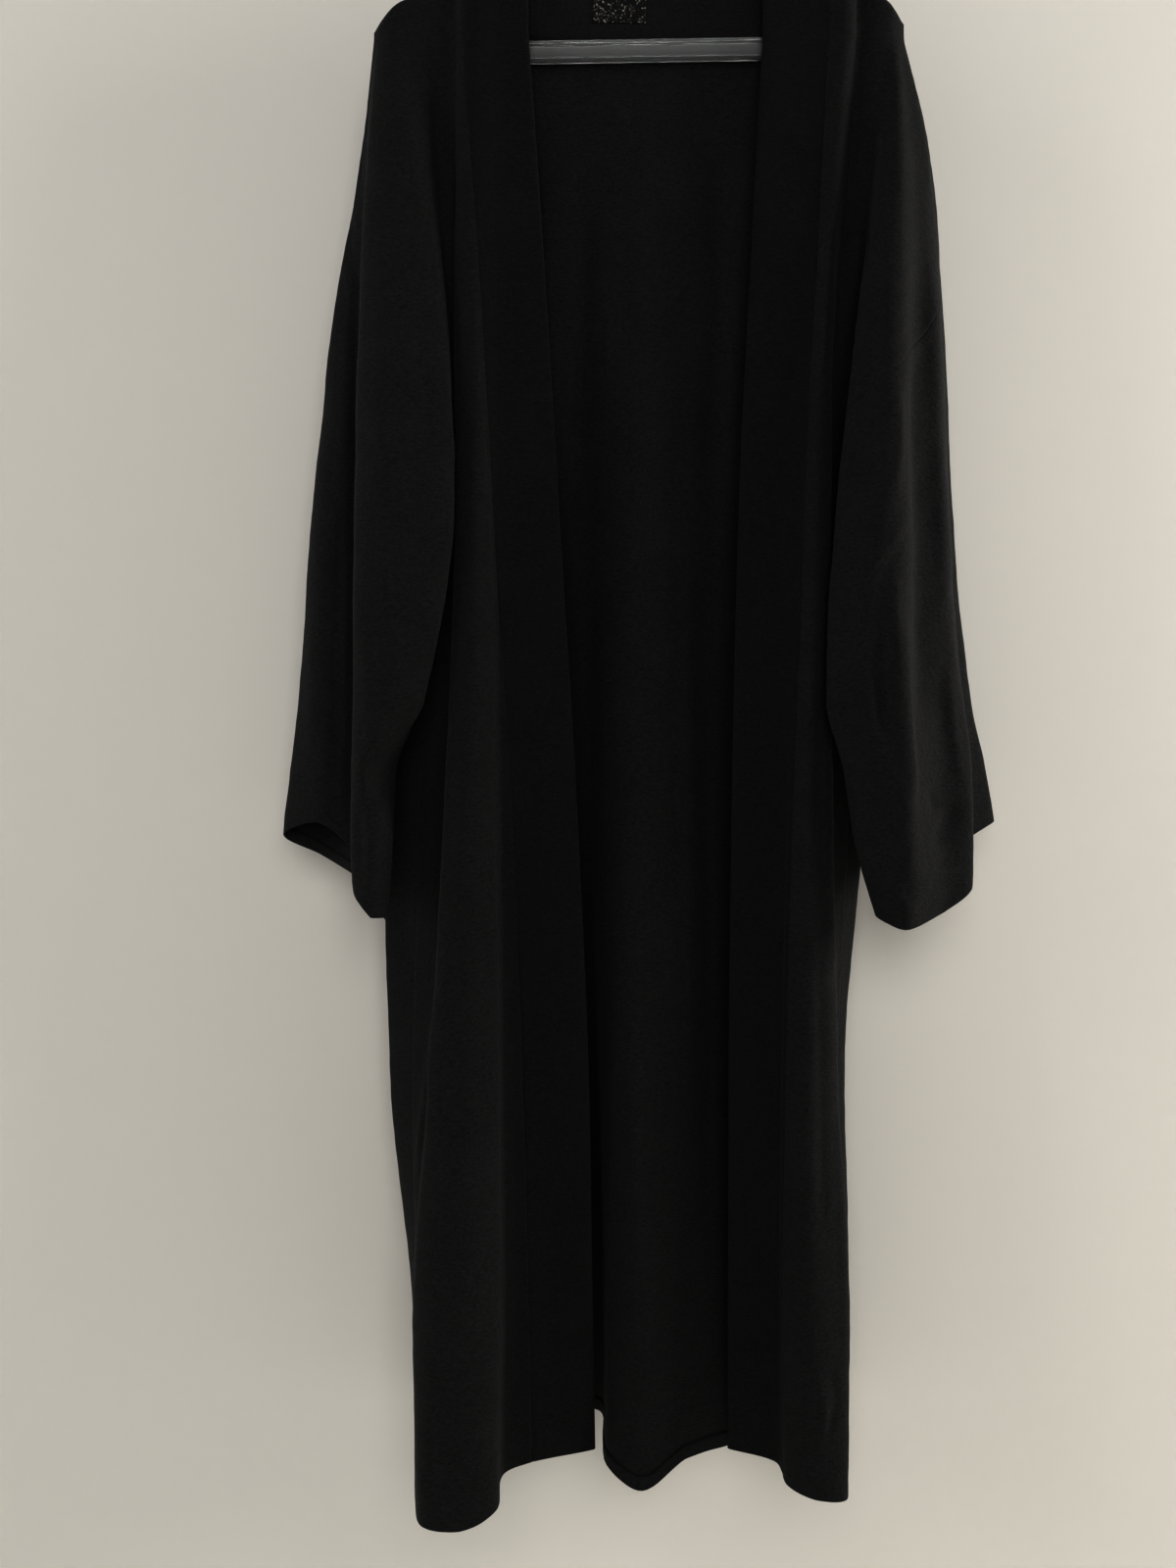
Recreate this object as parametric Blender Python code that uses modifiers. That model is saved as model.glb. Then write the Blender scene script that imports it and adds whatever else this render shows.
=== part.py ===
"""Open-front abaya cloak hanging on a clear plastic hanger.

The origin is the inside top of the hanger's hook, where a rod carries it.
X runs to the viewer's right, Y away from the viewer, Z up.
Tables are in millimetres; everything that is built is in metres.
"""
import bpy
import bmesh
import math

MM = 0.001

# Cloth
WALL = 1.2 * MM             # thickness of the cloth's solid wall
HALF_GAP = 0.3              # mm, half of the gap kept between two pieces at a seam
RIDGE_GAP = 0.3             # mm, the same along the shoulder, where the cloth turns over
TIP_GAP = 0.8               # mm, the same where the two layers stand upright at the hanger's tip
OUTLINE_GAP = 0.4           # mm, the same down the dropped shoulder's outer edge
BAND_WIDTH = 56.0           # mm, front and neck band
ARM_GAP = 1.2               # mm, drop of the sleeve's top edge below the slanting armhole edge
UNDERARM_GAP = 2.5          # mm, more room where four pieces meet under the arm
UNDERARM_REACH = (16.0, 90.0)   # mm, how far up and down that room goes
UNDERARM_SHIFT = (3.0, -4.0)   # mm, outwards and forwards, of the sleeve's underarm line

# Hanger, mm
RIDGE_Z = -65.0             # height of the shoulder line over the hook's stem
RIDGE_SLOPE = 0.29          # fall of the shoulder line for each mm outwards
TIP_START = 200.0           # where the shoulder line starts to turn down
TIP_REACH = 31.0
TIP_DROP = 18.0
TIP_FADE = 12.0             # length over which the seam's gap grows to the tip's
TILT = math.tan(math.radians(0.9))
ARM_TIP = 207.0
CROWN = 9.0                 # radius of the cloth's turn over the hanger's arms
ARM_DROP = 2.6              # hanger's top edge below the middle of the cloth
ARM_HEIGHT = 20.0
ARM_DEPTH = 8.0
CORNER = 10.0               # inset of the frame's inner corners
EDGE = 1.4                  # rounding of the frame's edges
BAR_TOP = -160.5
BAR_HEIGHT = 16.0
HOOK_INSIDE = 22.0          # inside radius of the hook, whose inside top is the origin
HOOK_WIRE = 6.0
HOOK_TURN = 285.0           # degrees that the hook turns through
HOOK_STEPS = 20
STEM_RISE = 2.0             # straight stretch below the hook's bend

# Seams, mm
NOTCH_Z = {"left": -318.0, "right": -322.0}   # top of the armhole seam
UNDERARM_Z = -560.0                           # foot of the armhole seam
NECK_Z = -99.0                                # middle of the back neckline
NECK_SEAM_Z = -155.0                          # middle of the neck band's seam
NECK_CURVE = 2.5                              # how flat the neck seam runs in its middle
TIP_SHARE = 0.52                              # share of a front's top edge on the hanger
BACK_TIP = 0.62                               # the same for each half of the back
NECK_SHARE = 0.40                             # share of each half of the back under the neck band
FADE = 0.1                                    # share over which the hanger's crown dies out

# Columns of the body tables: heights in mm. Each row is one fold line that runs
# down the cloth, with its (x, y) at those heights, and last its hem height.
BODY_HEIGHTS = (-160, -350, -560, -840, -1080, -1250, -1420)
FRONT = {
    "left": {
        "edge": ((-97, -14), (-84, -14), (-71, -12), (-54, -8), (-44, -2), (-41, 4), (-38, 10), -1395),
        "step_in": ((-122, -14), (-122, -15), (-122, -15), (-119, -13), (-117, -12), (-115, -14),
                    (-116, -18), -1400),
        "step_out": ((-130, -16), (-131, -18), (-131, -20), (-127, -26), (-123, -33), (-121, -44),
                     (-121, -58), -1408),
        "crest": ((-141, -17), (-143, -21), (-143, -25), (-145, -35), (-148, -45), (-151, -58),
                  (-152, -68), -1418),
        "outer": ((-154, -13), (-157, -16), (-157, -17), (-166, -26), (-179, -34), (-188, -46),
                  (-181, -64), -1416),
        "tuck": ((-160, -9), (-163, 2), (-164, 6), (-168, 6), (-180, 0), (-193, -14), (-190, -36), -1411),
        "side": ((-180, -9), (-171, 4), (-181, 12), (-195, 24), (-201, 18), (-196, 6), (-191, -4), -1407),
    },
    "right": {
        "edge": ((107, -14), (97, -14), (87, -12), (81, -8), (79, -2), (79, 4), (79, 10), -1395),
        "step_in": ((170, -15), (154, -16), (137, -16), (125, -12), (121, -8), (120, -6), (119, -8), -1397),
        "step_out": ((174, -17), (159, -19), (143, -20), (128, -20), (124, -20), (123, -22),
                     (125, -30), -1403),
        "crest": ((179, -17), (163, -20), (153, -22), (147, -26), (147, -30), (147, -36), (146, -42), -1408),
        "outer": ((185, -14), (168, -15), (164, -14), (166, -14), (170, -16), (177, -24), (172, -40), -1410),
        "tuck": ((188, -10), (174, -2), (168, 4), (168, 6), (171, 2), (179, -6), (176, -18), -1408),
        "side": ((193, -9), (178, 4), (186, 12), (188, 23), (178, 20), (180, 8), (180, 2), -1406),
    },
}
BACK = {
    "left_outer": ((-170, 9), (-184, 26), (-198, 36), (-228, 36), (-223, 36), (-203, 32), (-190, 24), -1406),
    "left_mid": ((-130, 9), (-140, 16), (-150, 30), (-165, 44), (-165, 52), (-160, 56), (-150, 54), -1400),
    "left_in": ((-90, 9), (-95, 16), (-95, 32), (-95, 50), (-92, 62), (-88, 69), (-80, 74), -1396),
    "recess": ((-60, 9), (-53, 14), (-48, 26), (-45, 40), (-39, 56), (-34, 66), (-33, 74), -1395),
    "sharp": ((-28, 9), (-29, 12), (-29, 18), (-30, 20), (-29, 16), (-27, 10), (-26, 2), -1406),
    "crest": ((0, 9), (-1, 9), (-1, 10), (-1, 8), (0, 2), (2, -4), (2, -9), -1420),
    "right_in": ((45, 9), (42, 10), (41, 14), (40, 16), (39, 12), (40, 8), (42, 8), -1402),
    "valley": ((75, 9), (67, 13), (68, 22), (66, 30), (66, 28), (68, 24), (71, 20), -1400),
    "right_mid": ((130, 9), (125, 14), (125, 28), (125, 40), (120, 44), (120, 42), (125, 38), -1400),
    "right_outer": ((190, 9), (190, 26), (202, 36), (203, 36), (186, 35), (188, 30), (186, 26), -1404),
}

# Columns of the sleeve tables: heights in mm. A row is a fold line that runs from the
# front underarm round the outside to the back underarm, with its cuff height last.
SLEEVE_HEIGHTS = (-160, -260, -400, -560, -738, -800, -860, -930)
SLEEVE = {
    "left": {
        "under_front": ((-180, -9), (-176, -3), (-171, 6), (-181, 12), (-190, -14), (-211, -9),
                        (-213, -12), (-219, -15), -925),
        "inner": ((-204, -12), (-187, -16), (-168, -20), (-158, -30), (-185, -28), (-226, -28),
                  (-212, -27), (-216, -27), -922),
        "middle": ((-214, -12), (-209, -22), (-202, -32), (-199, -40), (-211, -40), (-234, -37),
                   (-227, -38), (-227, -38), -921),
        "edge": ((-224, -8), (-233, -15), (-238, -24), (-242, -28), (-243, -30), (-245, -29),
                 (-245, -30), (-238, -31), -905),
        "tuck": ((-228, -5), (-237, -5), (-241, 1), (-245, 3), (-247, 4), (-250, 3), (-250, 2),
                 (-249, 2), -868),
        "lobe": ((-230, -3), (-240, 0), (-257, 5), (-266, 5), (-275, 6), (-282, 7), (-285, 8),
                 (-285, 8), -842),
        "outline": ((-231, 0), (-243, 4), (-270, 13), (-288, 20), (-304, 26), (-311, 28), (-318, 30),
                    (-318, 30), -855),
        "back_lobe": ((-230, 5), (-236, 14), (-253, 26), (-266, 35), (-276, 40), (-281, 42), (-284, 42),
                      (-284, 42), -874),
        "back_inner": ((-217, 9), (-214, 17), (-206, 25), (-212, 22), (-222, 14), (-237, 8), (-233, 3),
                       (-234, 0), -900),
        "under_back": ((-195, 9), (-189, 14), (-183, 18), (-181, 12), (-190, -14), (-211, -9),
                       (-213, -12), (-219, -15), -925),
    },
    "right": {
        "under_front": ((193, -9), (184, -2), (177, 6), (186, 12), (169, -22), (179, -20), (189, -17),
                        (209, -14), -912),
        "strip": ((203, -12), (199, -12), (191, -8), (186, 1), (161, -27), (174, -25), (184, -23),
                  (205, -19), -918),
        "inner": ((216, -12), (207, -18), (188, -22), (169, -28), (157, -33), (173, -31), (183, -29),
                  (204, -25), -922),
        "ridge": ((222, -9), (220, -26), (217, -38), (214, -46), (212, -50), (215, -50), (217, -50),
                  (220, -47), -930),
        "valley": ((226, -6), (236, -14), (243, -20), (247, -22), (252, -24), (256, -24), (258, -24),
                   (259, -24), -918),
        "edge": ((229, -3), (249, -6), (259, -8), (265, -10), (279, -12), (286, -14), (287, -14),
                 (285, -14), -898),
        "tuck": ((230, -2), (253, -1), (264, 0), (271, 2), (283, 4), (287, 6), (286, 6), (284, 6), -862),
        "outline": ((231, 0), (255, 3), (268, 8), (276, 12), (295, 16), (310, 20), (319, 22),
                    (319, 22), -842),
        "back_lobe": ((230, 5), (247, 12), (254, 22), (260, 28), (270, 31), (279, 33), (283, 33),
                      (283, 33), -865),
        "back_inner": ((221, 9), (217, 17), (212, 23), (213, 21), (202, 12), (206, 8), (211, 6),
                       (220, 4), -895),
        "under_back": ((206, 9), (198, 14), (189, 18), (186, 12), (169, -22), (179, -20), (189, -17),
                       (209, -14), -912),
    },
}
SIGN = {"left": -1.0, "right": 1.0}

# Grid steps: how many columns and rows each piece has
BAND_COLUMNS = 4
NECK_COLUMNS = 18
WALK = 0.05                     # step in index for measuring along the cloth
HALVINGS = 40                   # steps that close in on one height
TOUCH = 0.01                    # mm, within which a point counts as on a seam
PANEL_COLUMNS = (10, 8)         # on the hanger, and on the dropped shoulder
SHOULDER_COLUMNS = 5            # of the back, from the neck band to the hanger's tip
ROUND_ROWS = (0.0, 0.0008, 0.0025, 0.006)   # share of the height, over the hanger's crown
LOWER_ROWS = 13
ROUND_CLEAR = 1.3               # the next row lies this much further down than those
SLEEVE_ROWS = 11
SLEEVE_PACKING = 1.15           # rows lie closer together near the armhole
INDEX_STEP = 0.5
BACK_INDEX_STEP = 0.25


def slopes(heights, values):
    """Slopes of a curve through the values that never overshoots them."""
    steps = [(values[k + 1] - values[k]) / (heights[k + 1] - heights[k]) for k in range(len(values) - 1)]
    found = [steps[0]]
    for before, after in zip(steps, steps[1:]):
        if before * after <= 0.0:
            found.append(0.0)
        else:
            found.append(2.0 * before * after / (before + after))
    found.append(steps[-1])
    return found


def along(heights, row, z):
    """Point (x, y) of one fold line at height z, straight beyond the table's ends."""
    level = min(max(z, heights[-1]), heights[0])
    k = 0
    while k < len(heights) - 2 and level < heights[k + 1]:
        k += 1
    span = heights[k + 1] - heights[k]
    t = (level - heights[k]) / span
    point = []
    for axis in (0, 1):
        values = [pair[axis] for pair in row]
        m = slopes(heights, values)
        a = values[k] * (1 + 2 * t) * (1 - t) ** 2 + values[k + 1] * t * t * (3 - 2 * t)
        b = m[k] * span * t * (1 - t) ** 2 + m[k + 1] * span * t * t * (t - 1)
        point.append(a + b)
    return tuple(point)


def smooth(points, index):
    """Point on a smooth path through the points; index 1.5 is halfway from 1 to 2."""
    last = len(points) - 1
    k = min(max(int(math.floor(index)), 0), last - 1)
    t = index - k
    p1 = points[k]
    p2 = points[k + 1]
    p0 = points[k - 1] if k > 0 else (2 * p1[0] - p2[0], 2 * p1[1] - p2[1])
    p3 = points[k + 2] if k + 2 <= last else (2 * p2[0] - p1[0], 2 * p2[1] - p1[1])
    d0 = math.dist(p0, p1) ** 0.5 + 1e-6
    d1 = math.dist(p1, p2) ** 0.5 + 1e-6
    d2 = math.dist(p2, p3) ** 0.5 + 1e-6
    found = []
    for axis in (0, 1):
        m1 = p2[axis] - p1[axis] + d1 * ((p1[axis] - p0[axis]) / d0 - (p2[axis] - p0[axis]) / (d0 + d1))
        m2 = p2[axis] - p1[axis] + d1 * ((p3[axis] - p2[axis]) / d2 - (p3[axis] - p1[axis]) / (d1 + d2))
        found.append(p1[axis] * (1 + 2 * t) * (1 - t) ** 2 + p2[axis] * t * t * (3 - 2 * t)
                     + m1 * t * (1 - t) ** 2 + m2 * t * t * (t - 1))
    return tuple(found)


def ridge(x):
    """Height of the shoulder line at x."""
    turn = max(abs(x) - TIP_START, 0.0) / TIP_REACH
    return RIDGE_Z - RIDGE_SLOPE * abs(x) + TILT * x - TIP_DROP * turn * turn


def crown(depth):
    """Share of its full distance from the hanger that cloth has reached, at a depth below the ridge."""
    t = min(max(depth / CROWN, 0.0), 1.0)
    return math.sqrt(1.0 - (1.0 - t) ** 2)


def turned(x, y, depth):
    """Distance y from the hanger's middle, drawn in where the cloth turns over the shoulder."""
    least = RIDGE_GAP + (TIP_GAP - RIDGE_GAP) * clamp((abs(x) - TIP_START) / TIP_FADE)
    return math.copysign(max(abs(y) * crown(depth), min(abs(y), least)), y)


def ease(t):
    t = min(max(t, 0.0), 1.0)
    return t * t * (3.0 - 2.0 * t)


def clamp(t):
    return min(max(t, 0.0), 1.0)


def body_line(row, z):
    return along(BODY_HEIGHTS, row[:-1], z)


def sleeve_line(row, z):
    return along(SLEEVE_HEIGHTS, row[:-1], z)


def side_line(side, name, z):
    """Where the body meets the sleeve, above the underarm, and the side seam, below it."""
    if z >= UNDERARM_Z:
        return sleeve_line(SLEEVE[side][name], z)
    return body_line(FRONT[side]["side"], z)


def front_point(side, index, z):
    """Front layer: 0 is the opening's edge, then the body's fold lines, then the sleeve's."""
    rows = list(FRONT[side].values())
    turn = len(rows) - 1
    if index <= turn:
        points = [body_line(row, z) for row in rows[:-1]]
        points.append(side_line(side, "under_front", z))
        return smooth(points, index)
    return smooth([sleeve_line(row, z) for row in SLEEVE[side].values()], index - turn)


def outline_index(side):
    """Index of the fold line at the outer edge, among the sleeve's lines."""
    return list(SLEEVE[side]).index("outline")


def outline_gap(side, step, z):
    """Half a seam's gap at the outer edge, as an index, towards the line one step away."""
    rows = list(SLEEVE[side].values())
    outline = outline_index(side)
    return OUTLINE_GAP / math.dist(sleeve_line(rows[outline], z), sleeve_line(rows[outline + step], z))


def hem_at(rows, index):
    """Hem or cuff height at an index, from the last entry of each row."""
    return smooth([(row[-1], 0.0) for row in rows], index)[0]


def tip_top(side, share):
    """Height of the dropped shoulder's top edge, from the hanger's tip to the armhole."""
    start = ridge(sleeve_line(SLEEVE[side]["outline"], BODY_HEIGHTS[0])[0])
    return start + (NOTCH_Z[side] - start) * share


def underarm_share(side):
    """Share of the armhole and side seam's height where the underarm is."""
    return (NOTCH_Z[side] - UNDERARM_Z) / (NOTCH_Z[side] - FRONT[side]["side"][-1])


def arm_top(side, v):
    """Height of the armhole edge at a share v."""
    return NOTCH_Z[side] + (FRONT[side]["side"][-1] - NOTCH_Z[side]) * v


def panel_rows(side, layer):
    """Shares of the height for a panel's rows; the armhole rows cross the fold lines evenly."""
    if layer == "front":
        count = round(outline_index(side) / INDEX_STEP)
    else:
        count = round((len(SLEEVE[side]) - 1 - outline_index(side)) / BACK_INDEX_STEP)
    under = underarm_share(side)
    arm = [under * k / count for k in range(count + 1)]
    arm = [v for v in arm if v > ROUND_ROWS[-1] * ROUND_CLEAR]
    lower = [under + (1.0 - under) * k / LOWER_ROWS for k in range(1, LOWER_ROWS + 1)]
    return list(ROUND_ROWS) + arm + lower


def panel_shares():
    """Shares across a front panel: some on the hanger, some on the dropped shoulder."""
    on, off = PANEL_COLUMNS
    first = [TIP_SHARE * k / on for k in range(on + 1)]
    return first + [TIP_SHARE + (1.0 - TIP_SHARE) * k / off for k in range(1, off + 1)]


def band_index(side, z):
    """Index on the front layer that lies one band's width from the opening's edge."""
    total = 0.0
    before = front_point(side, 0.0, z)
    index = 0.0
    while index < len(FRONT[side]) - 1:
        after = front_point(side, index + WALK, z)
        length = math.dist(before, after)
        if total + length >= BAND_WIDTH:
            return index + WALK * (BAND_WIDTH - total) / length
        total += length
        before = after
        index += WALK
    return index


def front_grid(side):
    """Front panel, from the band's seam across to the armhole and the side seam."""
    rows = list(FRONT[side].values())
    turn = len(rows) - 1
    outline = turn + outline_index(side)
    under = underarm_share(side)
    seam_top = band_index(side, BODY_HEIGHTS[0])
    seam_hem = band_index(side, rows[0][-1])
    grid = []
    for v in panel_rows(side, "front"):
        w = clamp(v / under)
        line = []
        for u in panel_shares():
            on_hanger = min(u / TIP_SHARE, 1.0)
            if u < TIP_SHARE:
                top = ridge(front_point(side, seam_top + (outline - seam_top) * on_hanger,
                                        BODY_HEIGHTS[0])[0])
            else:
                top = tip_top(side, (u - TIP_SHARE) / (1.0 - TIP_SHARE))
            hem = hem_at(rows, seam_hem + (turn - seam_hem) * u)
            z = top + (hem - top) * v
            seam = band_index(side, z)
            upper = seam + (outline - seam) * on_hanger
            lower = seam + (turn - seam) * u
            if u >= TIP_SHARE:
                upper -= outline_gap(side, -1, z)
            x, y = front_point(side, upper + (lower - upper) * w, z)
            off_hanger = ease((u - TIP_SHARE) / FADE)
            y = turned(x, y, top - z) * (1.0 - off_hanger) + y * off_hanger
            line.append([x, y, z])
        draw_back(line[0], line[1], HALF_GAP)
        draw_back(line[-1], line[-2], HALF_GAP + underarm_room(arm_top(side, v)))
        grid.append(line)
    return grid


def band_grid(side):
    """Front band, from the opening's edge to the seam with the front panel."""
    rows = list(FRONT[side].values())
    grid = []
    for v in panel_rows(side, "front"):
        line = []
        for k in range(BAND_COLUMNS + 1):
            u = k / BAND_COLUMNS
            top_x = front_point(side, u * band_index(side, BODY_HEIGHTS[0]), BODY_HEIGHTS[0])[0]
            top = ridge(top_x)
            hem = hem_at(rows, u * band_index(side, rows[0][-1]))
            z = top + (hem - top) * v
            x, y = front_point(side, u * band_index(side, z), z)
            line.append([x, turned(x, y, top - z), z])
        draw_back(line[-1], line[-2], HALF_GAP)
        grid.append(line)
    return grid


def back_point(index, z):
    """Back layer: 0 is the left side and the last index the right side; beyond them, the sleeves."""
    rows = list(BACK.values())
    last = len(rows) + 1
    if index < 0.0 or index > last:
        side = "left" if index < 0.0 else "right"
        names = list(SLEEVE[side])
        beyond = -index if index < 0.0 else index - last
        points = [sleeve_line(SLEEVE[side][name], z) for name in names[outline_index(side):]]
        return smooth(points[::-1], beyond)
    points = [side_line("left", "under_back", z)]
    points += [body_line(row, z) for row in rows]
    points.append(side_line("right", "under_back", z))
    return smooth(points, index)


def neck_seam(x, ends):
    """Height of the seam between the neck band and the back, at x between its two ends."""
    middle = 0.5 * (ends[0] + ends[1])
    reach = 0.5 * (ends[1] - ends[0])
    rise = ridge(ends[0] if x < middle else ends[1]) - NECK_SEAM_Z
    return NECK_SEAM_Z + rise * abs((x - middle) / reach) ** NECK_CURVE


def seam_ends():
    """Where the band's seams meet the shoulder line, left and right."""
    return [front_point(side, band_index(side, BODY_HEIGHTS[0]), BODY_HEIGHTS[0])[0]
            for side in ("left", "right")]


def neck_spread():
    """Shares along the neck band's seam, closer together near its ends."""
    return [0.5 - 0.5 * math.cos(math.pi * k / NECK_COLUMNS) for k in range(NECK_COLUMNS + 1)]


def top_index(x):
    """Index on the back layer at x, at the height of the shoulder."""
    low = 0.0 - len(SLEEVE["left"]) + 1 + outline_index("left")
    high = float(len(BACK) + len(SLEEVE["right"]) - outline_index("right"))
    for _ in range(HALVINGS):
        middle = 0.5 * (low + high)
        if back_point(middle, BODY_HEIGHTS[0])[0] < x:
            low = middle
        else:
            high = middle
    return low


def back_columns():
    """Columns of the back: share across (-1 left, 1 right), and x on the hanger or None below it."""
    ends = seam_ends()
    tips = [sleeve_line(SLEEVE[side]["outline"], BODY_HEIGHTS[0])[0] for side in ("left", "right")]
    neck = []
    for u in neck_spread():
        neck.append((NECK_SHARE * (2.0 * u - 1.0), ends[0] + (ends[1] - ends[0]) * u))
    columns = {}
    for k, side in enumerate(("left", "right")):
        columns[side] = []
        for j in range(1, SHOULDER_COLUMNS + 1):
            t = j / SHOULDER_COLUMNS
            share = NECK_SHARE + (BACK_TIP - NECK_SHARE) * t
            x = None if j == SHOULDER_COLUMNS else ends[k] + (tips[k] - ends[k]) * t
            columns[side].append((SIGN[side] * share, x))
        for j in range(1, PANEL_COLUMNS[1] + 1):
            share = BACK_TIP + (1.0 - BACK_TIP) * j / PANEL_COLUMNS[1]
            columns[side].append((SIGN[side] * share, None))
    return columns["left"][::-1] + neck + columns["right"]


def back_grid():
    """Back panel, from the left armhole and side seam across to the right ones."""
    last = len(BACK) + 1
    middle = 0.5 * last
    reach = {side: middle + len(SLEEVE[side]) - 1 - outline_index(side) for side in SIGN}
    hems = [(FRONT["left"]["side"][-1], 0.0)] + [(row[-1], 0.0) for row in BACK.values()]
    hems.append((FRONT["right"]["side"][-1], 0.0))
    ends = seam_ends()
    rows = {side: panel_rows(side, "back") for side in SIGN}
    columns = back_columns()
    tops = [None if x is None else top_index(x) for share, x in columns]
    grid = []
    for left_v, right_v in zip(rows["left"], rows["right"]):
        line = []
        for (share, top_x), top_at in zip(columns, tops):
            side = "left" if share < 0.0 else "right"
            v = left_v + (right_v - left_v) * (0.5 + 0.5 * share)
            w = clamp(v / underarm_share(side))
            if top_x is None:
                top = tip_top(side, (abs(share) - BACK_TIP) / (1.0 - BACK_TIP))
                over = top
                upper = middle + SIGN[side] * reach[side]
            else:
                on_neck = ends[0] - TOUCH < top_x < ends[1] + TOUCH
                top = neck_seam(top_x, ends) if on_neck else ridge(top_x)
                over = ridge(top_x)
                upper = top_at
            z = top + (smooth(hems, middle + middle * share)[0] - top) * v
            lower = middle + middle * share
            if top_x is None:
                upper -= SIGN[side] * outline_gap(side, 1, z)
            x, y = back_point(upper + (lower - upper) * w, z)
            off_hanger = ease((abs(share) - BACK_TIP) / FADE)
            y = turned(x, y, over - z) * (1.0 - off_hanger) + y * off_hanger
            line.append([x, y, z])
        draw_back(line[0], line[1], HALF_GAP + underarm_room(arm_top("left", left_v)))
        draw_back(line[-1], line[-2], HALF_GAP + underarm_room(arm_top("right", right_v)))
        grid.append(line)
    return grid


def underarm_room(z):
    """Extra room at height z, where the four pieces meet under the arm."""
    reach = UNDERARM_REACH[0] if z > UNDERARM_Z else UNDERARM_REACH[1]
    return UNDERARM_GAP * clamp(1.0 - abs(z - UNDERARM_Z) / reach)


def neck_grid():
    """Neck band round the back of the neck, between the two front bands."""
    ends = seam_ends()
    edges = [front_point(side, 0.0, BODY_HEIGHTS[0])[0] for side in ("left", "right")]
    grid = []
    for j in range(BAND_COLUMNS + 1):
        share = j / BAND_COLUMNS
        line = []
        for u in neck_spread():
            x_edge = edges[0] + (edges[1] - edges[0]) * u
            z_edge = ridge(edges[0]) + (ridge(edges[1]) - ridge(edges[0])) * u
            z_edge += (NECK_Z - 0.5 * (ridge(edges[0]) + ridge(edges[1]))) * math.sin(math.pi * u)
            x_seam = ends[0] + (ends[1] - ends[0]) * u
            x = x_edge + (x_seam - x_edge) * share
            z = z_edge + (neck_seam(x_seam, ends) - z_edge) * share
            line.append([x, turned(x, CROWN, ridge(x) - z), z])
        grid.append(line)
    for a, b in zip(grid[-1], grid[-2]):
        draw_back(a, b, HALF_GAP)
    return grid


def sleeve_grid(side):
    """Sleeve: rings from the armhole down to the cuff, closed at the underarm seam."""
    rows = list(SLEEVE[side].values())
    outline = outline_index(side)
    last = len(rows) - 1
    under = underarm_share(side)
    front = [v for v in panel_rows(side, "front") if v <= under + 1e-9]
    back = [v for v in panel_rows(side, "back") if v <= under + 1e-9]
    columns = [(outline * (1.0 - v / under), v) for v in front[::-1]]
    columns += [(outline + (last - outline) * v / under, v) for v in back[1:-1]]
    grid = []
    for j in range(SLEEVE_ROWS + 1):
        t = (j / SLEEVE_ROWS) ** SLEEVE_PACKING
        line = []
        for index, v in columns:
            top = arm_top(side, v)
            top -= ARM_GAP + underarm_room(top)
            z = top + (hem_at(rows, index) - top) * t
            x, y = smooth([sleeve_line(row, z) for row in rows], index)
            near = clamp(1.0 - min(index, last - index))
            line.append([x + SIGN[side] * UNDERARM_SHIFT[0] * near, y + UNDERARM_SHIFT[1] * near, z])
        grid.append(line)
    return grid


def draw_back(point, towards, amount):
    """Move a point of a grid's edge towards the next point by an amount in millimetres."""
    length = math.dist(point, towards)
    for axis in range(3):
        point[axis] += (towards[axis] - point[axis]) * amount / length


def make_material(name, color, roughness, transmission=0.0):
    material = bpy.data.materials.new(name)
    material.use_nodes = True
    shader = material.node_tree.nodes["Principled BSDF"]
    shader.inputs["Base Color"].default_value = (*color, 1.0)
    shader.inputs["Roughness"].default_value = roughness
    shader.inputs["Metallic"].default_value = 0.0
    shader.inputs["Transmission Weight"].default_value = transmission
    return material


def make_sheet(name, grid, material, collection, closed=False):
    """Wall of cloth on a grid of points in millimetres: rows of columns."""
    bm = bmesh.new()
    rings = [[bm.verts.new((x * MM, y * MM, z * MM)) for x, y, z in row] for row in grid]
    count = len(grid[0])
    for upper, lower in zip(rings, rings[1:]):
        for k in range(count if closed else count - 1):
            bm.faces.new((upper[k], upper[(k + 1) % count], lower[(k + 1) % count], lower[k]))
    mesh = bpy.data.meshes.new(name)
    bm.to_mesh(mesh)
    bm.free()
    mesh.materials.append(material)
    obj = bpy.data.objects.new(name, mesh)
    collection.objects.link(obj)
    wall = obj.modifiers.new("wall", "SOLIDIFY")
    wall.thickness = WALL
    wall.offset = 0.0
    return obj


def flat_outline(name, loops, depth, material, collection):
    """Flat piece, standing in the plane of X and Z: closed loops filled and given a depth."""
    curve = bpy.data.curves.new(name, "CURVE")
    curve.dimensions = "2D"
    curve.fill_mode = "BOTH"
    curve.extrude = 0.5 * depth * MM
    for loop in loops:
        spline = curve.splines.new("POLY")
        spline.points.add(len(loop) - 1)
        for point, (x, z) in zip(spline.points, loop):
            point.co = (x * MM, z * MM, 0.0, 1.0)
        spline.use_cyclic_u = True
    curve.materials.append(material)
    obj = bpy.data.objects.new(name, curve)
    obj.rotation_euler = (math.radians(90.0), 0.0, 0.0)
    collection.objects.link(obj)
    return obj


def arm_line(offset, reach, count=12):
    """Points along the hanger's arms, from its left tip to its right one."""
    xs = [-reach + 2.0 * reach * k / (2 * count) for k in range(2 * count + 1)]
    return [(x, ridge(x) - offset) for x in xs]


def bar_line(offset, reach):
    """Two points along the hanger's bar."""
    return [(-reach, BAR_TOP - offset - TILT * reach), (reach, BAR_TOP - offset + TILT * reach)]


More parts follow.
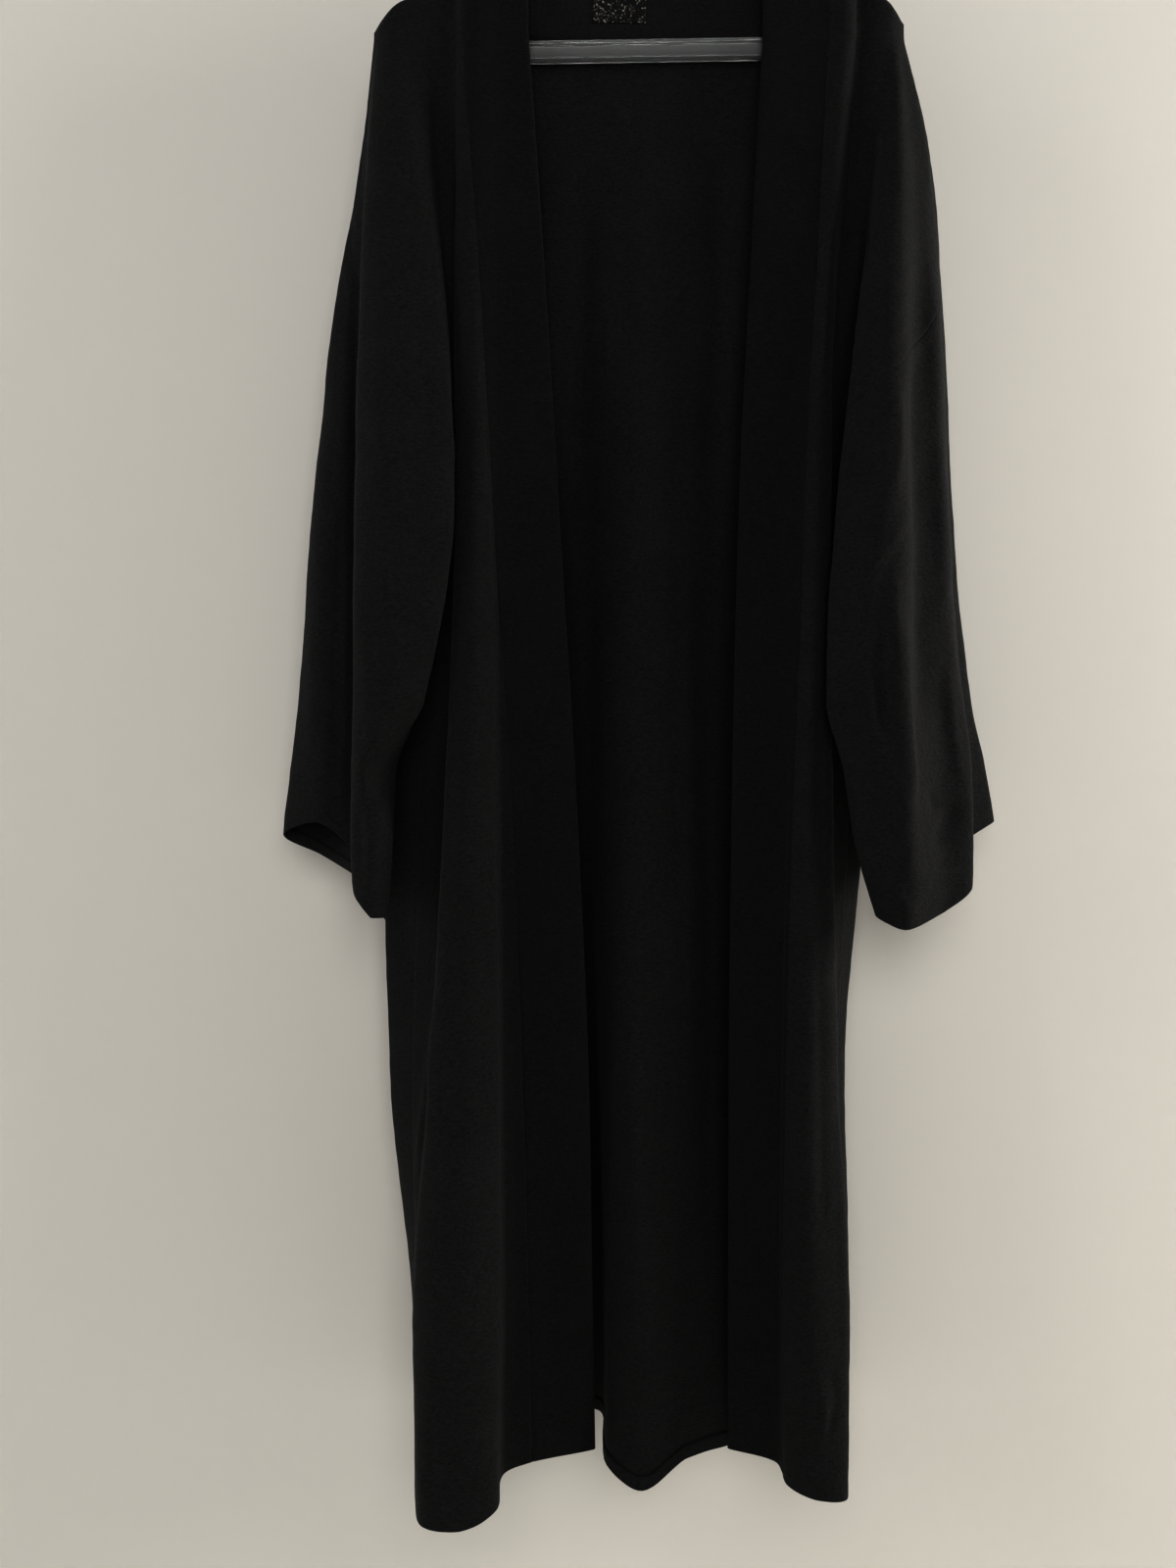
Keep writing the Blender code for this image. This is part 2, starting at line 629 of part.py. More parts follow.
def build():
    for old in list(bpy.data.objects):
        bpy.data.objects.remove(old, do_unlink=True)
    collection = bpy.data.collections.new("abaya_cloak")
    bpy.context.scene.collection.children.link(collection)
    colors = {"back": (0.011, 0.011, 0.012), "front": (0.013, 0.013, 0.014), "band": (0.015, 0.015, 0.016),
              "neck": (0.014, 0.014, 0.015), "sleeve": (0.016, 0.016, 0.017)}
    cloth = {name: make_material("cloth_" + name, color, 0.9) for name, color in colors.items()}
    clear = make_material("clear_plastic", (0.86, 0.88, 0.9), 0.08, transmission=0.9)
    make_sheet("back_panel", back_grid(), cloth["back"], collection)
    make_sheet("neck_band", neck_grid(), cloth["neck"], collection)
    for side in SIGN:
        make_sheet("front_panel_" + side, front_grid(side), cloth["front"], collection)
        make_sheet("front_band_" + side, band_grid(side), cloth["band"], collection)
        make_sheet("sleeve_" + side, sleeve_grid(side), cloth["sleeve"], collection, closed=True)
    build_hanger(clear, collection)


def build_hanger(clear, collection):
    """Flat moulded frame of two arms and a trouser bar, and the hook that stands on it."""
    arms_top = arm_line(ARM_DROP, ARM_TIP)
    arms_foot = arm_line(ARM_DROP + ARM_HEIGHT, ARM_TIP - CORNER)
    bar_foot = bar_line(BAR_HEIGHT, ARM_TIP)
    bar_top = bar_line(0.0, ARM_TIP - 2.0 * CORNER)
    outer = arms_top + [bar_foot[1], bar_foot[0]]
    inner = [point for point in arms_foot if abs(point[0]) < ARM_TIP - 2.0 * CORNER]
    inner += [bar_top[1], bar_top[0]]
    frame = flat_outline("hanger_frame", [outer, inner], ARM_DEPTH, clear, collection)
    weld = frame.modifiers.new("weld", "WELD")
    weld.merge_threshold = 0.00001
    bevel = frame.modifiers.new("bevel", "BEVEL")
    bevel.width = EDGE * MM
    bevel.segments = 2
    bevel.limit_method = "ANGLE"

    radius = HOOK_INSIDE + 0.5 * HOOK_WIRE
    points = [(0.0, ridge(0.0) - ARM_DROP + HALF_GAP), (0.0, -HOOK_INSIDE - radius - STEM_RISE)]
    for k in range(HOOK_STEPS + 1):
        angle = math.radians(-90.0 + HOOK_TURN * k / HOOK_STEPS)
        points.append((radius * math.cos(angle), radius * math.sin(angle) - HOOK_INSIDE))
    curve = bpy.data.curves.new("hanger_hook", "CURVE")
    curve.dimensions = "3D"
    curve.bevel_depth = 0.5 * HOOK_WIRE * MM
    curve.bevel_resolution = 2
    curve.use_fill_caps = True
    spline = curve.splines.new("POLY")
    spline.points.add(len(points) - 1)
    for point, (x, z) in zip(spline.points, points):
        point.co = (x * MM, 0.0, z * MM, 1.0)
    curve.materials.append(clear)
    hook = bpy.data.objects.new("hanger_hook", curve)
    collection.objects.link(hook)


build()
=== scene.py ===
"""Black open-front abaya cloak hanging on a clear plastic hanger, against a pale wall.

X runs to the viewer's right, Y away from the viewer, Z up, and the origin is the
inside top of the hook. Tables are in millimetres, meshes in metres.
"""
import math

import bmesh
import bpy
import numpy as np
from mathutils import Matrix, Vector


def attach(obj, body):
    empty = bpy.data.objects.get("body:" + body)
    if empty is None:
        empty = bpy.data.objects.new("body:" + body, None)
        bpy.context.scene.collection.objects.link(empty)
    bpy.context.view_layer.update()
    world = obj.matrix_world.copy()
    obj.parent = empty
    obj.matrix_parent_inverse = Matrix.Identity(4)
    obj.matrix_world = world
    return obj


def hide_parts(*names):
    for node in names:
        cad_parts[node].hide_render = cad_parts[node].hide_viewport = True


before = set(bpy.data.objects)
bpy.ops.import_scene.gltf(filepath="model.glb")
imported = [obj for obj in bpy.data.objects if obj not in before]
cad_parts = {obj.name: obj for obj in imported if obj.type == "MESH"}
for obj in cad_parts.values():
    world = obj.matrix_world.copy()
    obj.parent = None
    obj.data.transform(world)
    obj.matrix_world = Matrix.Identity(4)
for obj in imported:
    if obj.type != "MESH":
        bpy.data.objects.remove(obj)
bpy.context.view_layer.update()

bpy.ops.object.select_all(action="DESELECT")
MM = 0.001

# Hanger: one clear moulding, with a rib along both edges of its arms and its trouser
# bar and a thinner web between them. It hangs from a round hook that is moulded on.
RIDGE_Z = -65.0
RIDGE_SLOPE = 0.29
TIP_START = 200.0
TIP_REACH = 31.0
TIP_DROP = 18.0
TILT = math.tan(math.radians(0.9))
ARM_TIP = 207.0
ARM_DROP = 2.6
ARM_HEIGHT = 20.0
BAR_TOP = -160.5
BAR_HEIGHT = 16.0
CORNER = 10.0
RIB_DEPTH = 4.0
WEB_DEPTH = 1.3
TOP_RIB = 3.6
LOW_RIB = 1.9
RIB_FOOT = 0.8
EDGE_ROUND = 0.5
EDGE_ANGLE = 35.0


def ridge(x):
    """Height of the shoulder line at x."""
    turn = np.maximum(np.abs(x) - TIP_START, 0.0) / TIP_REACH
    return RIDGE_Z - RIDGE_SLOPE * np.abs(x) + TILT * x - TIP_DROP * turn * turn


def finish_mesh(name, verts, faces, material):
    """A mesh object in metres from points in millimetres."""
    mesh = bpy.data.meshes.new(name)
    mesh.from_pydata([tuple(c * MM for c in v) for v in verts], [], faces)
    mesh.materials.append(material)
    mesh.update()
    obj = bpy.data.objects.new(name, mesh)
    bpy.context.scene.collection.objects.link(obj)
    return obj


def apply_modifiers(obj):
    """Applies every modifier of the object in turn."""
    bpy.context.view_layer.objects.active = obj
    obj.select_set(True)
    for modifier in list(obj.modifiers):
        bpy.ops.object.modifier_apply(modifier=modifier.name)
    obj.select_set(False)


def face_outwards(obj):
    """Turns all faces of the object outwards."""
    bm = bmesh.new()
    bm.from_mesh(obj.data)
    bmesh.ops.recalc_face_normals(bm, faces=bm.faces)
    bm.to_mesh(obj.data)
    bm.free()


def shade_smooth(obj):
    """Shades all faces of the object as one smooth surface."""
    for polygon in obj.data.polygons:
        polygon.use_smooth = True


def principled(name):
    """New material and its Principled shader."""
    material = bpy.data.materials.new(name)
    material.use_nodes = True
    return material, material.node_tree.nodes["Principled BSDF"]


def node(material, kind, **values):
    """New shader node with some of its properties set."""
    made = material.node_tree.nodes.new(kind)
    for key, value in values.items():
        setattr(made, key, value)
    return made


def link(material, source, target):
    """Joins a node's output to another node's input."""
    material.node_tree.links.new(source, target)


def object_place(material):
    """Place on the object, as a vector."""
    return node(material, "ShaderNodeTexCoord").outputs["Object"]


def stretched(material, vector, scale):
    """Vector scaled by a factor of its own along each axis."""
    made = node(material, "ShaderNodeMapping")
    made.inputs["Scale"].default_value = scale
    link(material, vector, made.inputs["Vector"])
    return made.outputs["Vector"]


def noise(material, vector, scale, detail=2.0, rough=0.5):
    """Noise texture on a vector; gives its value output."""
    made = node(material, "ShaderNodeTexNoise")
    made.inputs["Scale"].default_value = scale
    made.inputs["Detail"].default_value = detail
    made.inputs["Roughness"].default_value = rough
    link(material, vector, made.inputs["Vector"])
    return made.outputs["Fac"]


def spread(material, value, low, high):
    """Value mapped from 0..1 to low..high."""
    made = node(material, "ShaderNodeMapRange")
    made.inputs["To Min"].default_value = low
    made.inputs["To Max"].default_value = high
    link(material, value, made.inputs["Value"])
    return made.outputs["Result"]


def two_tones(material, share, first, second):
    """Colour between two tones, by a share of the second."""
    made = node(material, "ShaderNodeMix", data_type="RGBA")
    made.inputs["A"].default_value = (*first, 1.0)
    made.inputs["B"].default_value = (*second, 1.0)
    link(material, share, made.inputs["Factor"])
    return made.outputs["Result"]


def bump(material, height, strength, distance):
    """Bump node that reads a height."""
    made = node(material, "ShaderNodeBump")
    made.inputs["Strength"].default_value = strength
    made.inputs["Distance"].default_value = distance
    link(material, height, made.inputs["Height"])
    return made


clear, shader = principled("clear_moulded_plastic")
shader.inputs["Base Color"].default_value = (0.90, 0.92, 0.93, 1.0)
shader.inputs["Transmission Weight"].default_value = 0.90
shader.inputs["IOR"].default_value = 1.49
place = object_place(clear)
haze = noise(clear, place, 160.0, 3.0)
link(clear, spread(clear, haze, 0.02, 0.10), shader.inputs["Roughness"])
drawn = noise(clear, stretched(clear, place, (28.0, 260.0, 260.0)), 1.0)
link(clear, bump(clear, drawn, 0.5, 0.0008).outputs["Normal"], shader.inputs["Normal"])

frosted, shader = principled("frosted_web_plastic")
shader.inputs["Transmission Weight"].default_value = 0.55
shader.inputs["IOR"].default_value = 1.49
shader.inputs["Specular IOR Level"].default_value = 0.25
mist = noise(frosted, object_place(frosted), 45.0, 4.0, 0.6)
milk = two_tones(frosted, mist, (0.210, 0.212, 0.216), (0.290, 0.292, 0.296))
link(frosted, milk, shader.inputs["Base Color"])
link(frosted, spread(frosted, mist, 0.38, 0.62), shader.inputs["Roughness"])

# Each station of the frame: outer point, inner point, and the two ribs' heights
stations = []
ARM_STEPS = 30
for k in range(ARM_STEPS + 1):
    x = -ARM_TIP + 2.0 * ARM_TIP * k / ARM_STEPS
    inner_x = x * (ARM_TIP - 2.0 * CORNER) / ARM_TIP
    stations.append(((x, ridge(x) - ARM_DROP), (inner_x, ridge(inner_x) - ARM_DROP - ARM_HEIGHT),
                     TOP_RIB, LOW_RIB))
for k in range(ARM_STEPS + 1):
    x = ARM_TIP - 2.0 * ARM_TIP * k / ARM_STEPS
    inner_x = x * (ARM_TIP - 2.0 * CORNER) / ARM_TIP
    stations.append(((x, BAR_TOP - BAR_HEIGHT + TILT * x), (inner_x, BAR_TOP + TILT * inner_x),
                     LOW_RIB, TOP_RIB))
verts = []
for (ox, oz), (ix, iz), outer_rib, inner_rib in stations:
    width = math.hypot(ix - ox, iz - oz)
    section = [(0.0, -RIB_DEPTH), (outer_rib, -RIB_DEPTH), (outer_rib + RIB_FOOT, -WEB_DEPTH),
               (width - inner_rib - RIB_FOOT, -WEB_DEPTH), (width - inner_rib, -RIB_DEPTH),
               (width, -RIB_DEPTH)]
    section += [(a, -y) for a, y in section[::-1]]
    for a, y in section:
        t = a / width
        verts.append((ox + (ix - ox) * t, y, oz + (iz - oz) * t))
SECTION = 12
faces = []
for k in range(len(stations)):
    here, there = k * SECTION, (k + 1) % len(stations) * SECTION
    for j in range(SECTION):
        beside = (j + 1) % SECTION
        faces.append((here + j, here + beside, there + beside, there + j))
hanger = finish_mesh("hanger_ribbed_frame", verts, faces, clear)
face_outwards(hanger)
rounding = hanger.modifiers.new("rounding", "BEVEL")
rounding.width = EDGE_ROUND * MM
rounding.segments = 3
rounding.limit_method = "ANGLE"
rounding.angle_limit = math.radians(EDGE_ANGLE)
apply_modifiers(hanger)
shade_smooth(hanger)
hanger.data.materials.append(frosted)
for polygon in hanger.data.polygons:
    on_web = abs(abs(polygon.center.y) - WEB_DEPTH * MM) < 0.1 * MM
    polygon.material_index = 1 if on_web and abs(polygon.normal.y) > 0.95 else 0
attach(hanger, "root")
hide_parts("hanger_frame")

HOOK_INSIDE = 22.0
HOOK_WIRE = 6.0
HOOK_TURN = 285.0
HOOK_STEPS = 72
AROUND = 20
# The path's points are (x, z, radius): a thick foot, the round hook and its rounded end
wire = 0.5 * HOOK_WIRE
radius = HOOK_INSIDE + wire
path = [(0.0, ridge(0.0) - ARM_DROP - 4.0, 5.4), (0.0, ridge(0.0) - ARM_DROP + 1.0, 5.2),
        (0.0, ridge(0.0) + 1.5, 3.6), (0.0, ridge(0.0) + 5.0, wire)]
for k in range(HOOK_STEPS + 1):
    angle = math.radians(-90.0 + HOOK_TURN * k / HOOK_STEPS)
    path.append((radius * math.cos(angle), radius * math.sin(angle) - HOOK_INSIDE, wire))
end = path[-1]
way = np.array([math.cos(math.radians(HOOK_TURN)), math.sin(math.radians(HOOK_TURN))])
for out, share in ((1.2, 0.93), (2.1, 0.72), (2.8, 0.4), (3.0, 0.08)):
    path.append((end[0] + way[0] * out, end[1] + way[1] * out, wire * share))
verts, faces = [], []
centres = np.array([(x, z) for x, z, r in path])
heading = np.gradient(centres, axis=0)
heading /= np.linalg.norm(heading, axis=1)[:, None]
for (x, z, r), (hx, hz) in zip(path, heading):
    for j in range(AROUND):
        a = 2.0 * math.pi * j / AROUND
        verts.append((x + hz * r * math.cos(a), r * math.sin(a), z - hx * r * math.cos(a)))
for k in range(len(path) - 1):
    for j in range(AROUND):
        a, b = k * AROUND + j, k * AROUND + (j + 1) % AROUND
        faces.append((a, b, b + AROUND, a + AROUND))
faces.append(tuple(range(AROUND)))
faces.append(tuple((len(path) - 1) * AROUND + j for j in range(AROUND)))
hook = finish_mesh("hanger_moulded_hook", verts, faces, clear)
face_outwards(hook)
shade_smooth(hook)
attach(hook, "root")
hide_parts("hanger_hook")

# Front panels: one cut of black crepe each side, from the band's seam over the shoulder
# to the dropped armhole and down the side seam. They hang in a few deep folds.
CROWN = 9.0                     # the cloth turns over the hanger within this height
RIDGE_GAP = 0.3
TIP_GAP = 0.8
BAND_WIDTH = 56.0
NOTCH_Z = {"left": -318.0, "right": -322.0}
UNDERARM_Z = -560.0
TIP_SHARE = 0.52                # share of a front's width that lies on the hanger
FADE = 0.1
FACING = {"left": 1.0, "right": -1.0}
CLOTH = 0.7
HEM_ROWS = (12.0, 9.0, 6.0, 3.0, 1.0)   # rows of the turned-up hem, above its edge
STITCHED = -5                   # row with the stitches, 9 mm above the edge
SHOULDER_FADE = 60.0
SEAM_FADE = 14.0
BAND_FADE = 12.0
TIP_BLEND = 12.0
CREASE_END = 0.3
SLANT = 2.5                     # how fast creases grow as the cloth turns to the viewer

# Columns of the body tables: heights in mm. Each row is one fold line that runs
# down the cloth, with its (x, y) at those heights, and last its hem height.
BODY_HEIGHTS = (-160, -350, -560, -840, -1080, -1250, -1420)
TABLE_TOP = float(BODY_HEIGHTS[0])
FRONT = {
    "left": {
        "edge": ((-97, -14), (-84, -14), (-71, -12), (-54, -8), (-44, -2), (-41, 4), (-38, 10), -1395),
        "step_in": ((-122, -14), (-122, -15), (-122, -15), (-119, -13), (-117, -12), (-115, -14),
            (-116, -18), -1400),
        "step_out": ((-130, -16), (-131, -18), (-131, -20), (-127, -26), (-123, -33), (-121, -44),
            (-121, -58), -1408),
        "crest": ((-141, -17), (-143, -21), (-143, -25), (-145, -35), (-148, -45), (-151, -58),
            (-152, -68), -1418),
        "outer": ((-154, -13), (-157, -16), (-157, -17), (-166, -26), (-179, -34), (-188, -46),
            (-181, -64), -1416),
        "tuck": ((-160, -9), (-163, 2), (-164, 6), (-168, 6), (-180, 0), (-193, -14), (-190, -36), -1411),
        "side": ((-180, -9), (-171, 4), (-181, 12), (-195, 24), (-201, 18), (-196, 6), (-191, -4), -1407),
    },
    "right": {
        "edge": ((107, -14), (97, -14), (87, -12), (81, -8), (79, -2), (79, 4), (79, 10), -1395),
        "step_in": ((170, -15), (154, -16), (137, -16), (125, -12), (121, -8), (120, -6), (119, -8), -1397),
        "step_out": ((174, -17), (159, -19), (143, -20), (128, -20), (124, -20), (123, -22),
            (125, -30), -1403),
        "crest": ((179, -17), (163, -20), (153, -22), (147, -26), (147, -30), (147, -36), (146, -42), -1408),
        "outer": ((185, -14), (168, -15), (164, -14), (166, -14), (170, -16), (177, -24), (172, -40), -1410),
        "tuck": ((188, -10), (174, -2), (168, 4), (168, 6), (171, 2), (179, -6), (176, -18), -1408),
        "side": ((193, -9), (178, 4), (186, 12), (188, 23), (178, 20), (180, 8), (180, 2), -1406),
    },
}
BACK = {
    "left_outer": ((-170, 9), (-184, 26), (-198, 36), (-228, 36), (-223, 36), (-203, 32), (-190, 24), -1406),
    "left_mid": ((-130, 9), (-140, 16), (-150, 30), (-165, 44), (-165, 52), (-160, 56), (-150, 54), -1400),
    "left_in": ((-90, 9), (-95, 16), (-95, 32), (-95, 50), (-92, 62), (-88, 69), (-80, 74), -1396),
    "recess": ((-60, 9), (-53, 14), (-48, 26), (-45, 40), (-39, 56), (-34, 66), (-33, 74), -1395),
    "sharp": ((-28, 9), (-29, 12), (-29, 18), (-30, 20), (-29, 16), (-27, 10), (-26, 2), -1406),
    "crest": ((0, 9), (-1, 9), (-1, 10), (-1, 8), (0, 2), (2, -4), (2, -9), -1420),
    "right_in": ((45, 9), (42, 10), (41, 14), (40, 16), (39, 12), (40, 8), (42, 8), -1402),
    "valley": ((75, 9), (67, 13), (68, 22), (66, 30), (66, 28), (68, 24), (71, 20), -1400),
    "right_mid": ((130, 9), (125, 14), (125, 28), (125, 40), (120, 44), (120, 42), (125, 38), -1400),
    "right_outer": ((190, 9), (190, 26), (202, 36), (203, 36), (186, 35), (188, 30), (186, 26), -1404),
}

# Columns of the sleeve tables: heights in mm. A row is a fold line that runs from the
# front underarm round the outside to the back underarm, with its cuff height last.
SLEEVE_HEIGHTS = (-160, -260, -400, -560, -738, -800, -860, -930)
SLEEVE = {
    "left": {
        "under_front": ((-180, -9), (-176, -3), (-171, 6), (-181, 12), (-190, -14), (-211, -9),
            (-213, -12), (-219, -15), -925),
        "inner": ((-204, -12), (-187, -16), (-168, -20), (-158, -30), (-185, -28), (-226, -28),
            (-212, -27), (-216, -27), -922),
        "middle": ((-214, -12), (-209, -22), (-202, -32), (-199, -40), (-211, -40), (-234, -37),
            (-227, -38), (-227, -38), -921),
        "edge": ((-224, -8), (-233, -15), (-238, -24), (-242, -28), (-243, -30), (-245, -29),
            (-245, -30), (-238, -31), -905),
        "tuck": ((-228, -5), (-237, -5), (-241, 1), (-245, 3), (-247, 4), (-250, 3), (-250, 2),
            (-249, 2), -868),
        "lobe": ((-230, -3), (-240, 0), (-257, 5), (-266, 5), (-275, 6), (-282, 7), (-285, 8),
            (-285, 8), -842),
        "outline": ((-231, 0), (-243, 4), (-270, 13), (-288, 20), (-304, 26), (-311, 28), (-318, 30),
            (-318, 30), -855),
        "back_lobe": ((-230, 5), (-236, 14), (-253, 26), (-266, 35), (-276, 40), (-281, 42), (-284, 42),
            (-284, 42), -874),
        "back_inner": ((-217, 9), (-214, 17), (-206, 25), (-212, 22), (-222, 14), (-237, 8), (-233, 3),
            (-234, 0), -900),
        "under_back": ((-195, 9), (-189, 14), (-183, 18), (-181, 12), (-190, -14), (-211, -9),
            (-213, -12), (-219, -15), -925),
    },
    "right": {
        "under_front": ((193, -9), (184, -2), (177, 6), (186, 12), (169, -22), (179, -20), (189, -17),
            (209, -14), -912),
        "strip": ((203, -12), (199, -12), (191, -8), (186, 1), (161, -27), (174, -25), (184, -23),
            (205, -19), -918),
        "inner": ((216, -12), (207, -18), (188, -22), (169, -28), (157, -33), (173, -31), (183, -29),
            (204, -25), -922),
        "ridge": ((222, -9), (220, -26), (217, -38), (214, -46), (212, -50), (215, -50), (217, -50),
            (220, -47), -930),
        "valley": ((226, -6), (236, -14), (243, -20), (247, -22), (252, -24), (256, -24), (258, -24),
            (259, -24), -918),
        "edge": ((229, -3), (249, -6), (259, -8), (265, -10), (279, -12), (286, -14), (287, -14),
            (285, -14), -898),
        "tuck": ((230, -2), (253, -1), (264, 0), (271, 2), (283, 4), (287, 6), (286, 6), (284, 6), -862),
        "outline": ((231, 0), (255, 3), (268, 8), (276, 12), (295, 16), (310, 20), (319, 22),
            (319, 22), -842),
        "back_lobe": ((230, 5), (247, 12), (254, 22), (260, 28), (270, 31), (279, 33), (283, 33),
            (283, 33), -865),
        "back_inner": ((221, 9), (217, 17), (212, 23), (213, 21), (202, 12), (206, 8), (211, 6),
            (220, 4), -895),
        "under_back": ((206, 9), (198, 14), (189, 18), (186, 12), (169, -22), (179, -20), (189, -17),
            (209, -14), -912),
    },
}


def lines_at(heights, rows, z):
    """(x, y) of each fold line at heights z: an array of lines, points and two axes."""
    h = np.array(heights, float)
    v = np.array([row[:len(heights)] for row in rows], float)
    step = np.diff(v, axis=1) / np.diff(h)[None, :, None]
    slope = np.zeros_like(v)
    slope[:, 0] = step[:, 0]
    slope[:, -1] = step[:, -1]
    before, after = step[:, :-1], step[:, 1:]
    same = before * after > 0.0
    slope[:, 1:-1] = np.where(same, 2.0 * before * after / np.where(same, before + after, 1.0), 0.0)
    level = np.clip(z, h[-1], h[0])
    k = np.clip(np.searchsorted(-h, -level) - 1, 0, len(h) - 2)
    span = h[k + 1] - h[k]
    t = ((level - h[k]) / span)[None, :, None]
    span = span[None, :, None]
    return (v[:, k] * (1 + 2 * t) * (1 - t) ** 2 + v[:, k + 1] * t * t * (3 - 2 * t)
            + slope[:, k] * span * t * (1 - t) ** 2 + slope[:, k + 1] * span * t * t * (t - 1))


def smooth(points, index):
    """Points on smooth paths across an array of lines; index 1.5 is halfway from 1 to 2."""
    last = len(points) - 1
    k = np.clip(np.floor(index).astype(int), 0, last - 1)
    n = np.arange(len(k))
    t = (index - k)[:, None]
    p1, p2 = points[k, n], points[k + 1, n]
    p0 = np.where((k > 0)[:, None], points[np.maximum(k - 1, 0), n], 2 * p1 - p2)
    p3 = np.where((k + 2 <= last)[:, None], points[np.minimum(k + 2, last), n], 2 * p2 - p1)
    d0 = np.linalg.norm(p1 - p0, axis=1)[:, None] ** 0.5 + 1e-6
    d1 = np.linalg.norm(p2 - p1, axis=1)[:, None] ** 0.5 + 1e-6
    d2 = np.linalg.norm(p3 - p2, axis=1)[:, None] ** 0.5 + 1e-6
    m1 = p2 - p1 + d1 * ((p1 - p0) / d0 - (p2 - p0) / (d0 + d1))
    m2 = p2 - p1 + d1 * ((p3 - p2) / d2 - (p3 - p1) / (d1 + d2))
    return (p1 * (1 + 2 * t) * (1 - t) ** 2 + p2 * t * t * (3 - 2 * t)
            + m1 * t * (1 - t) ** 2 + m2 * t * t * (t - 1))


def sleeve_points(side, index, z):
    """Points of a sleeve's surface, from the front underarm line round to the back one."""
    return smooth(lines_at(SLEEVE_HEIGHTS, list(SLEEVE[side].values()), z), index)


def side_line(side, name, z):
    """Where the body meets the sleeve, above the underarm, and the side seam, below it."""
    upper = lines_at(SLEEVE_HEIGHTS, [SLEEVE[side][name]], z)[0]
    lower = lines_at(BODY_HEIGHTS, [FRONT[side]["side"]], z)[0]
    return np.where((z >= UNDERARM_Z)[:, None], upper, lower)


def front_points(side, index, z):
    """Points of the front layer: 0 is the opening's edge, 6 the side, and then the sleeve's lines."""
    rows = list(FRONT[side].values())
    turn = len(rows) - 1
    lines = lines_at(BODY_HEIGHTS, rows[:-1], z)
    lines = np.concatenate([lines, side_line(side, "under_front", z)[None]])
    body = smooth(lines, np.minimum(index, turn))
    beyond = sleeve_points(side, np.maximum(index - turn, 0.0), z)
    return np.where((index <= turn)[:, None], body, beyond)


def outline_index(side):
    """Index of the fold line at the outer edge, among the sleeve's lines."""
    return list(SLEEVE[side]).index("outline")


def hem_at(rows, index):
    """Hem or cuff height at an index, from the last entry of each row."""
    ends = np.array([(row[-1], 0.0) for row in rows])[:, None, :]
    return smooth(np.repeat(ends, len(index), axis=1), index)[:, 0]


def tip_top(side, share):
    """Height of the dropped shoulder's top edge, from the hanger's tip to the armhole."""
    start = ridge(SLEEVE[side]["outline"][0][0])
    return start + (NOTCH_Z[side] - start) * share


def underarm_share(side):
    """Share of the armhole and side seam's height where the underarm is."""
    return (NOTCH_Z[side] - UNDERARM_Z) / (NOTCH_Z[side] - FRONT[side]["side"][-1])


def arm_top(side, v):
    """Height of the armhole edge at a share v."""
    return NOTCH_Z[side] + (FRONT[side]["side"][-1] - NOTCH_Z[side]) * v


def ease(t):
    """Rises from 0 to 1 with a gentle start and end."""
    t = np.clip(t, 0.0, 1.0)
    return t * t * (3.0 - 2.0 * t)


def turned(x, y, depth):
    """Distance y from the hanger's middle, drawn in where the cloth turns over the shoulder."""
    t = np.clip(depth / CROWN, 0.0, 1.0)
    arch = np.sqrt(1.0 - (1.0 - t) ** 2)
    least = RIDGE_GAP + (TIP_GAP - RIDGE_GAP) * np.clip((np.abs(x) - TIP_START) / TIP_BLEND, 0.0, 1.0)
    return np.copysign(np.maximum(np.abs(y) * arch, np.minimum(np.abs(y), least)), y)


def band_indices(side):
    """Heights, and the index on the front layer that lies one band's width from the edge at each."""
    z = np.linspace(-50.0, -1425.0, 345)
    steps = np.linspace(0.0, 6.0, 121)
    track = np.array([front_points(side, np.full(len(z), s), z) for s in steps])
    length = np.cumsum(np.linalg.norm(np.diff(track, axis=0), axis=2), axis=0)
    length = np.concatenate([np.zeros((1, len(z))), length])
    found = [np.interp(BAND_WIDTH, length[:, k], steps) for k in range(len(z))]
    return z[::-1], np.array(found)[::-1]


band_table = {side: band_indices(side) for side in FACING}


def band_index(side, z):
    """Index of the band's seam on the front layer, at heights z."""
    return np.interp(z, *band_table[side])


def row_shares(under, coarse=1.0):
    """Shares of the height for a grid's rows: close over the shoulder and at the turned hem."""
    height = 1300.0
    top = [0.0, 0.2, 0.6, 1.2, 2.0, 3.0, 4.4, 6.2, 9.0, 12.5]
    upper = list(np.arange(16.0, under * height, 3.6 * coarse))
    lower = list(np.arange(under * height, height - HEM_ROWS[0] - 4.0, 3.7 * coarse))
    foot = [height - d for d in (*HEM_ROWS, 0.0)]
    return np.array(top + upper + lower + foot) / height


def column_shares():
    """Shares across a front panel, closer together at both seams."""
    first = [0.0, 0.004, 0.009, *np.linspace(0.018, TIP_SHARE, 46)]
    return first + [*np.linspace(TIP_SHARE, 1.0, 35)[1:-1], 0.992, 0.997, 1.0]


def grid_normals(grid, facing):
    """Outward normal at each point of a grid."""
    across = np.gradient(grid, axis=1)
    down = np.gradient(grid, axis=0)
    normal = np.cross(across, down) * facing
    return normal / (np.linalg.norm(normal, axis=2)[:, :, None] + 1e-9)


def cloth_width(grid):
    """Distance along the cloth from the first column, in mm, at each point of a grid."""
    steps = np.linalg.norm(np.diff(grid, axis=1), axis=2)
    return np.concatenate([np.zeros((len(grid), 1)), np.cumsum(steps, axis=1)], axis=1)


def faces_viewer(normals):
    """Share of a crease's height that the cloth gets there: all of it where it faces the viewer."""
    return np.clip(-SLANT * normals[:, :, 1], 0.0, 1.0)


